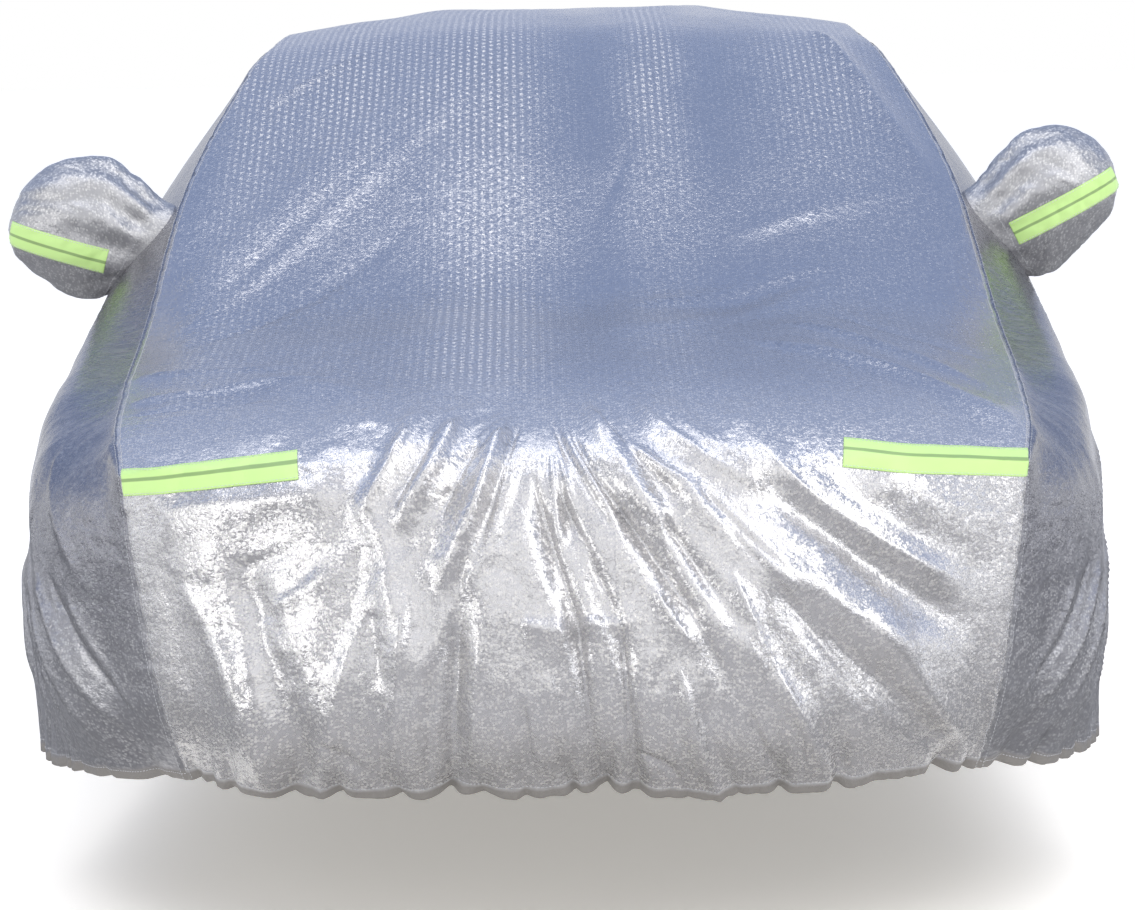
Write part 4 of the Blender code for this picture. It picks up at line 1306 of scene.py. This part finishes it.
# Height of a direction above the horizon, as the Z of a vector one long, and the sky there
# in front of the nose and behind the tail
Sky = namedtuple("Sky", "height front behind")
SKY = table(Sky, (
    (0.05, (1.00, 1.00, 1.00), (1.00, 1.00, 1.00)),
    (0.22, (0.66, 0.67, 0.70), (0.52, 0.59, 0.80)),
    (0.55, (0.42, 0.44, 0.50), (0.31, 0.42, 0.71)),
    (0.95, (0.36, 0.39, 0.50), (0.30, 0.40, 0.67)),
))
SKY_TURN = (-0.30, 0.25)
SKY_STRENGTH = 1.0
FLOOR_COLOUR = (0.97, 0.94, 0.88)
FLOOR_GLOW = 0.30
FLOOR_HALF = 40.0

WARM = (1.0, 0.985, 0.96)
COOL = (0.97, 0.98, 1.0)
Lamp = namedtuple("Lamp", "name width depth radiance colour place aim")
LAMPS = table(Lamp, (
    ("top_left", 1.7, 5.4, 3.2, WARM, (-2.6, -2.7, 5.4), (-2.3, -2.2, -0.8)),
    ("top_middle", 1.2, 5.4, 0.7, WARM, (-0.3, -2.7, 5.4), (-0.2, -2.2, -0.8)),
    ("top_right", 1.7, 5.4, 3.2, WARM, (2.5, -2.7, 5.4), (2.2, -2.2, -0.8)),
    ("upper_silk", 6.0, 3.8, 0.62, WARM, (0.0, -7.2, 4.6), (0.0, -2.2, -0.8)),
    ("apex_silk", 0.8, 0.9, 0.85, COOL, (0.0, -0.85, 2.1), (0.0, -2.1, -0.6)),
    ("front_silk", 6.0, 4.4, 0.70, (1.0, 0.985, 0.965), (0.0, -9.5, 2.2), (0.0, -2.2, -0.8)),
    ("left_wing", 1.6, 3.4, 1.1, COOL, (-3.5, -0.2, 4.6), (0.0, -0.8, -0.4)),
    ("right_wing", 1.4, 3.4, 0.9, COOL, (3.9, -0.2, 4.4), (0.0, -0.8, -0.4)),
    ("left_strip", 0.4, 3.0, 2.8, WARM, (-5.6, -1.4, 0.5), (-0.9, -1.9, -0.8)),
    ("right_strip", 0.4, 3.0, 2.6, WARM, (5.6, -1.2, 0.5), (0.9, -1.9, -0.8)),
    ("left_softbox", 2.4, 3.6, 3.0, WARM, (-5.6, -6.2, 0.8), (0.0, -2.3, -0.8)),
    ("right_low", 1.6, 3.0, 2.6, COOL, (5.8, -5.4, 0.6), (0.6, -2.0, -0.8)),
    ("right_softbox", 3.2, 3.0, 3.2, WARM, (4.4, -5.2, 2.8), (0.6, -2.0, -0.7)),
))
OVERHEAD_STRENGTH = 1.1
OVERHEAD_ANGLE = math.radians(100.0)

# Grey cards on the floor, which only show in the shine of the cloth. Those in front are
# lengthwise stripes, the same on both sides: their places from the middle, and colours.
Card = namedtuple("Card", "name low_x low_y high_x high_y colour")
CARD_FRONT, CARD_EDGE, CARD_REAR = -14.0, -1.95, 4.0
DARK, PALE = (0.24, 0.235, 0.23), (0.44, 0.43, 0.415)
STRIPES = (("dark", 0.9, 1.7, DARK), ("pale", 1.7, 2.9, PALE), ("end", 2.9, 6.0, DARK))
SIDE_SHADE = (0.28, 0.275, 0.27)


def floor_cards():
    """The cards on the floor, from the middle stripe outwards on both sides."""
    cards = [Card("front_card", -0.9, CARD_FRONT, 0.9, CARD_EDGE, (0.39, 0.38, 0.37))]
    for side, way in (("left", -1), ("right", 1)):
        for stripe, near, far, shade in STRIPES:
            low, high = sorted((way * near, way * far))
            cards.append(Card(f"front_{side}_{stripe}", low, CARD_FRONT, high, CARD_EDGE, shade))
    cards.append(Card("left_card", -8.0, CARD_EDGE, -0.95, CARD_REAR, SIDE_SHADE))
    cards.append(Card("right_card", 0.95, CARD_EDGE, 8.0, CARD_REAR, SIDE_SHADE))
    return cards


CARD_LIFT = 0.004
# Standing cards beside the front lamp, which darken the flanks of the folds
Flag = namedtuple("Flag", "name x y z width height")
FLAGS = table(Flag, (
    ("right_flag", 6.5, -7.5, 0.2, 5.0, 3.2),
    ("left_flag", -4.7, -8.7, 0.2, 2.6, 3.6),
))
FLAG_COLOUR = (0.30, 0.30, 0.31)
FLAG_AIM = Vector((0.0, -2.3, -0.8))


def matt(name, colour, glow=0.0):
    """A matt material of one colour, which may glow a little."""
    material = bpy.data.materials.new(name)
    material.use_nodes = True
    surface = material.node_tree.nodes["Principled BSDF"]
    surface.inputs["Base Color"].default_value = (*colour, 1.0)
    surface.inputs["Roughness"].default_value = 1.0
    surface.inputs["Specular IOR Level"].default_value = 0.0
    surface.inputs["Emission Color"].default_value = (*colour, 1.0)
    surface.inputs["Emission Strength"].default_value = glow
    return material


def add_flat(name, low_x, low_y, high_x, high_y, height, colour, glow=0.0):
    """A flat, level rectangle of the stage."""
    middle = ((low_x + high_x) / 2, (low_y + high_y) / 2, height)
    bpy.ops.mesh.primitive_plane_add(size=1.0, location=middle)
    flat = bpy.context.object
    flat.name = name
    flat.scale = (high_x - low_x, high_y - low_y, 1.0)
    flat.data.materials.append(matt(name, colour, glow))
    return flat


def aimed(place, aim, forward):
    """A place and a turn whose forward axis points from the place to the aim."""
    turn = (Vector(aim) - Vector(place)).to_track_quat(forward, "Y").to_matrix().to_4x4()
    return Matrix.Translation(Vector(place)) @ turn


def add_flag(flag):
    """A standing card that faces the nose."""
    flat = add_flat(flag.name, -0.5, -0.5, 0.5, 0.5, 0.0, FLAG_COLOUR)
    size = Matrix.Diagonal((flag.width, flag.height, 1.0, 1.0))
    flat.matrix_world = aimed((flag.x, flag.y, flag.z), FLAG_AIM, "Z") @ size
    return flat


def add_lamp(lamp):
    """A rectangular soft lamp that shines from its place to its aim."""
    data = bpy.data.lights.new(lamp.name, "AREA")
    data.shape = "RECTANGLE"
    data.size = lamp.width
    data.size_y = lamp.depth
    data.energy = lamp.radiance * math.pi * lamp.width * lamp.depth
    data.color = lamp.colour
    obj = bpy.data.objects.new(lamp.name, data)
    obj.matrix_world = aimed(lamp.place, lamp.aim, "-Z")
    bpy.context.scene.collection.objects.link(obj)


def add_overhead():
    """Even light from above, which whitens the floor but leaves no shine on the cloth."""
    data = bpy.data.lights.new("overhead", "SUN")
    data.energy = OVERHEAD_STRENGTH
    data.angle = OVERHEAD_ANGLE
    obj = bpy.data.objects.new("overhead", data)
    obj.visible_glossy = False
    bpy.context.scene.collection.objects.link(obj)


def sky_ramp(tree, height, colours):
    """The colours of one side of the sky, by the height of a direction."""
    ramp = tree.nodes.new("ShaderNodeValToRGB")
    elements = ramp.color_ramp.elements
    while len(elements) < len(SKY):
        elements.new(0.5)
    for element, sky, colour in zip(elements, SKY, colours):
        element.position = sky.height
        element.color = (*colour, 1.0)
    tree.links.new(height, ramp.inputs[0])
    return ramp.outputs[0]


def add_sky():
    """A sky that is white at the horizon, grey in front of the nose and blue behind."""
    world = bpy.data.worlds.new("sky")
    world.use_nodes = True
    bpy.context.scene.world = world
    tree = world.node_tree
    place = tree.nodes.new("ShaderNodeTexCoord")
    split = tree.nodes.new("ShaderNodeSeparateXYZ")
    turn = tree.nodes.new("ShaderNodeMapRange")
    both = tree.nodes.new("ShaderNodeMix")
    both.data_type = "RGBA"
    turn.interpolation_type = "SMOOTHSTEP"
    turn.inputs["From Min"].default_value, turn.inputs["From Max"].default_value = SKY_TURN
    front = sky_ramp(tree, split.outputs["Z"], [sky.front for sky in SKY])
    behind = sky_ramp(tree, split.outputs["Z"], [sky.behind for sky in SKY])
    tree.links.new(place.outputs["Generated"], split.inputs[0])
    tree.links.new(split.outputs["Y"], turn.inputs["Value"])
    tree.links.new(turn.outputs[0], both.inputs[0])
    tree.links.new(front, both.inputs[6])
    tree.links.new(behind, both.inputs[7])
    tree.links.new(both.outputs[2], tree.nodes["Background"].inputs["Color"])
    tree.nodes["Background"].inputs["Strength"].default_value = SKY_STRENGTH


def add_stage():
    """A pale floor under the sky, with soft lamps, cards on the floor and standing flags."""
    bpy.context.scene.view_settings.view_transform = "Standard"
    add_sky()
    add_overhead()
    for lamp in LAMPS:
        add_lamp(lamp)
    ground = -ROOF_MOUNT[2]
    add_flat("floor", -FLOOR_HALF, -FLOOR_HALF, FLOOR_HALF, FLOOR_HALF, ground, FLOOR_COLOUR, FLOOR_GLOW)
    flats = [add_flat(*card[:-1], ground + CARD_LIFT, card.colour) for card in floor_cards()]
    for flat in flats + [add_flag(flag) for flag in FLAGS]:
        flat.visible_camera = False
        flat.visible_diffuse = False
        flat.visible_shadow = False


# ---------------------------------------------------------------- the cover

def add_panel(name, sheet, region):
    """A panel with all of its folds, its turned hem and its opening, and its stitching."""
    sheet = sheet._replace(places=finished(sheet, region))
    stitching = add_stitches(name.replace("cloth", "stitching"), stitch_lines(sheet, region))
    sheet = joined(turned_hem(sheet, True), sheet)
    if region == "centre":
        sheet = joined(sheet, turned_hem(sheet, False))
    columns = len(sheet.places) // sheet.rows
    faces = grid_faces(sheet.rows, columns)
    if region != "right":
        faces = faces[:, ::-1]
    if region != "centre":
        side = -1 if region == "left" else 1
        faces = with_opening(faces[:, ::-1], sheet.places, side, POCKET_RISE[region])
    panel = add_mesh(name, sheet.places, faces, sheet.cloth, above_hem=sheet.above_hem)
    return panel, stitching


def add_pocket(label, side, rise):
    """A mirror pocket, and the ring of stitching round its mouth."""
    sheet = pocket_sheet(side, rise)
    faces = grid_faces(POCKET_ROWS, POCKET_COLUMNS, closed=True)
    faces = faces if side > 0 else faces[:, ::-1]
    pocket = add_mesh(label + "_cloth", sheet.places, faces, sheet.cloth, above_hem=sheet.above_hem)
    ring = slice(POCKET_STITCH_ROW * POCKET_COLUMNS, (POCKET_STITCH_ROW + 1) * POCKET_COLUMNS)
    return pocket, add_stitches(label + "_stitching", [(sheet.places[ring], sheet.normals[ring])])


def dress(obj, node, material):
    """The object put in the node's place, with its material."""
    obj.data.materials.append(material)
    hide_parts(node)
    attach(obj, "root")


def sew(stitching, material):
    """Stitching put on the cover, with its material."""
    stitching.data.materials.append(material)
    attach(stitching, "root")


def build():
    """All the pieces of the cover."""
    add_camera()
    add_stage()
    silver, painted_shade_side, pouch = (film(*look) for look in FILMS)
    green = tape("reflective tape")
    grey = thread("sewing thread")

    centre, stitching = add_panel("centre_panel_cloth", centre_sheet(), "centre")
    dress(centre, "centre_panel", silver)
    sew(stitching, grey)
    panels = [centre]
    bands = []
    for name, side, strip in zip(("left", "right"), (-1, 1), POCKET_STRIPS):
        panel, stitching = add_panel(f"side_panel_{name}_cloth", wall_sheet(side), name)
        # The side panels take the silver film darkened as painted shade
        dress(panel, f"side_panel_{name}", painted_shade_side)
        sew(stitching, grey)
        panels.append(panel)
        label = f"mirror_pocket_{name}"
        pocket, stitching = add_pocket(label, side, POCKET_RISE[name])
        dress(pocket, label, pouch)
        sew(stitching, grey)
        bands.append((strip, *add_strip(surface_of(pocket), strip, POCKET_CAST_Y)))
    front = surface_of(*panels)
    bands += [(strip, *add_strip(front, strip, HOOD_CAST_Y)) for strip in HOOD_STRIPS]
    for strip, band, stitching, flat in bands:
        dress(band, strip.name, green)
        sew(stitching, grey)


build()
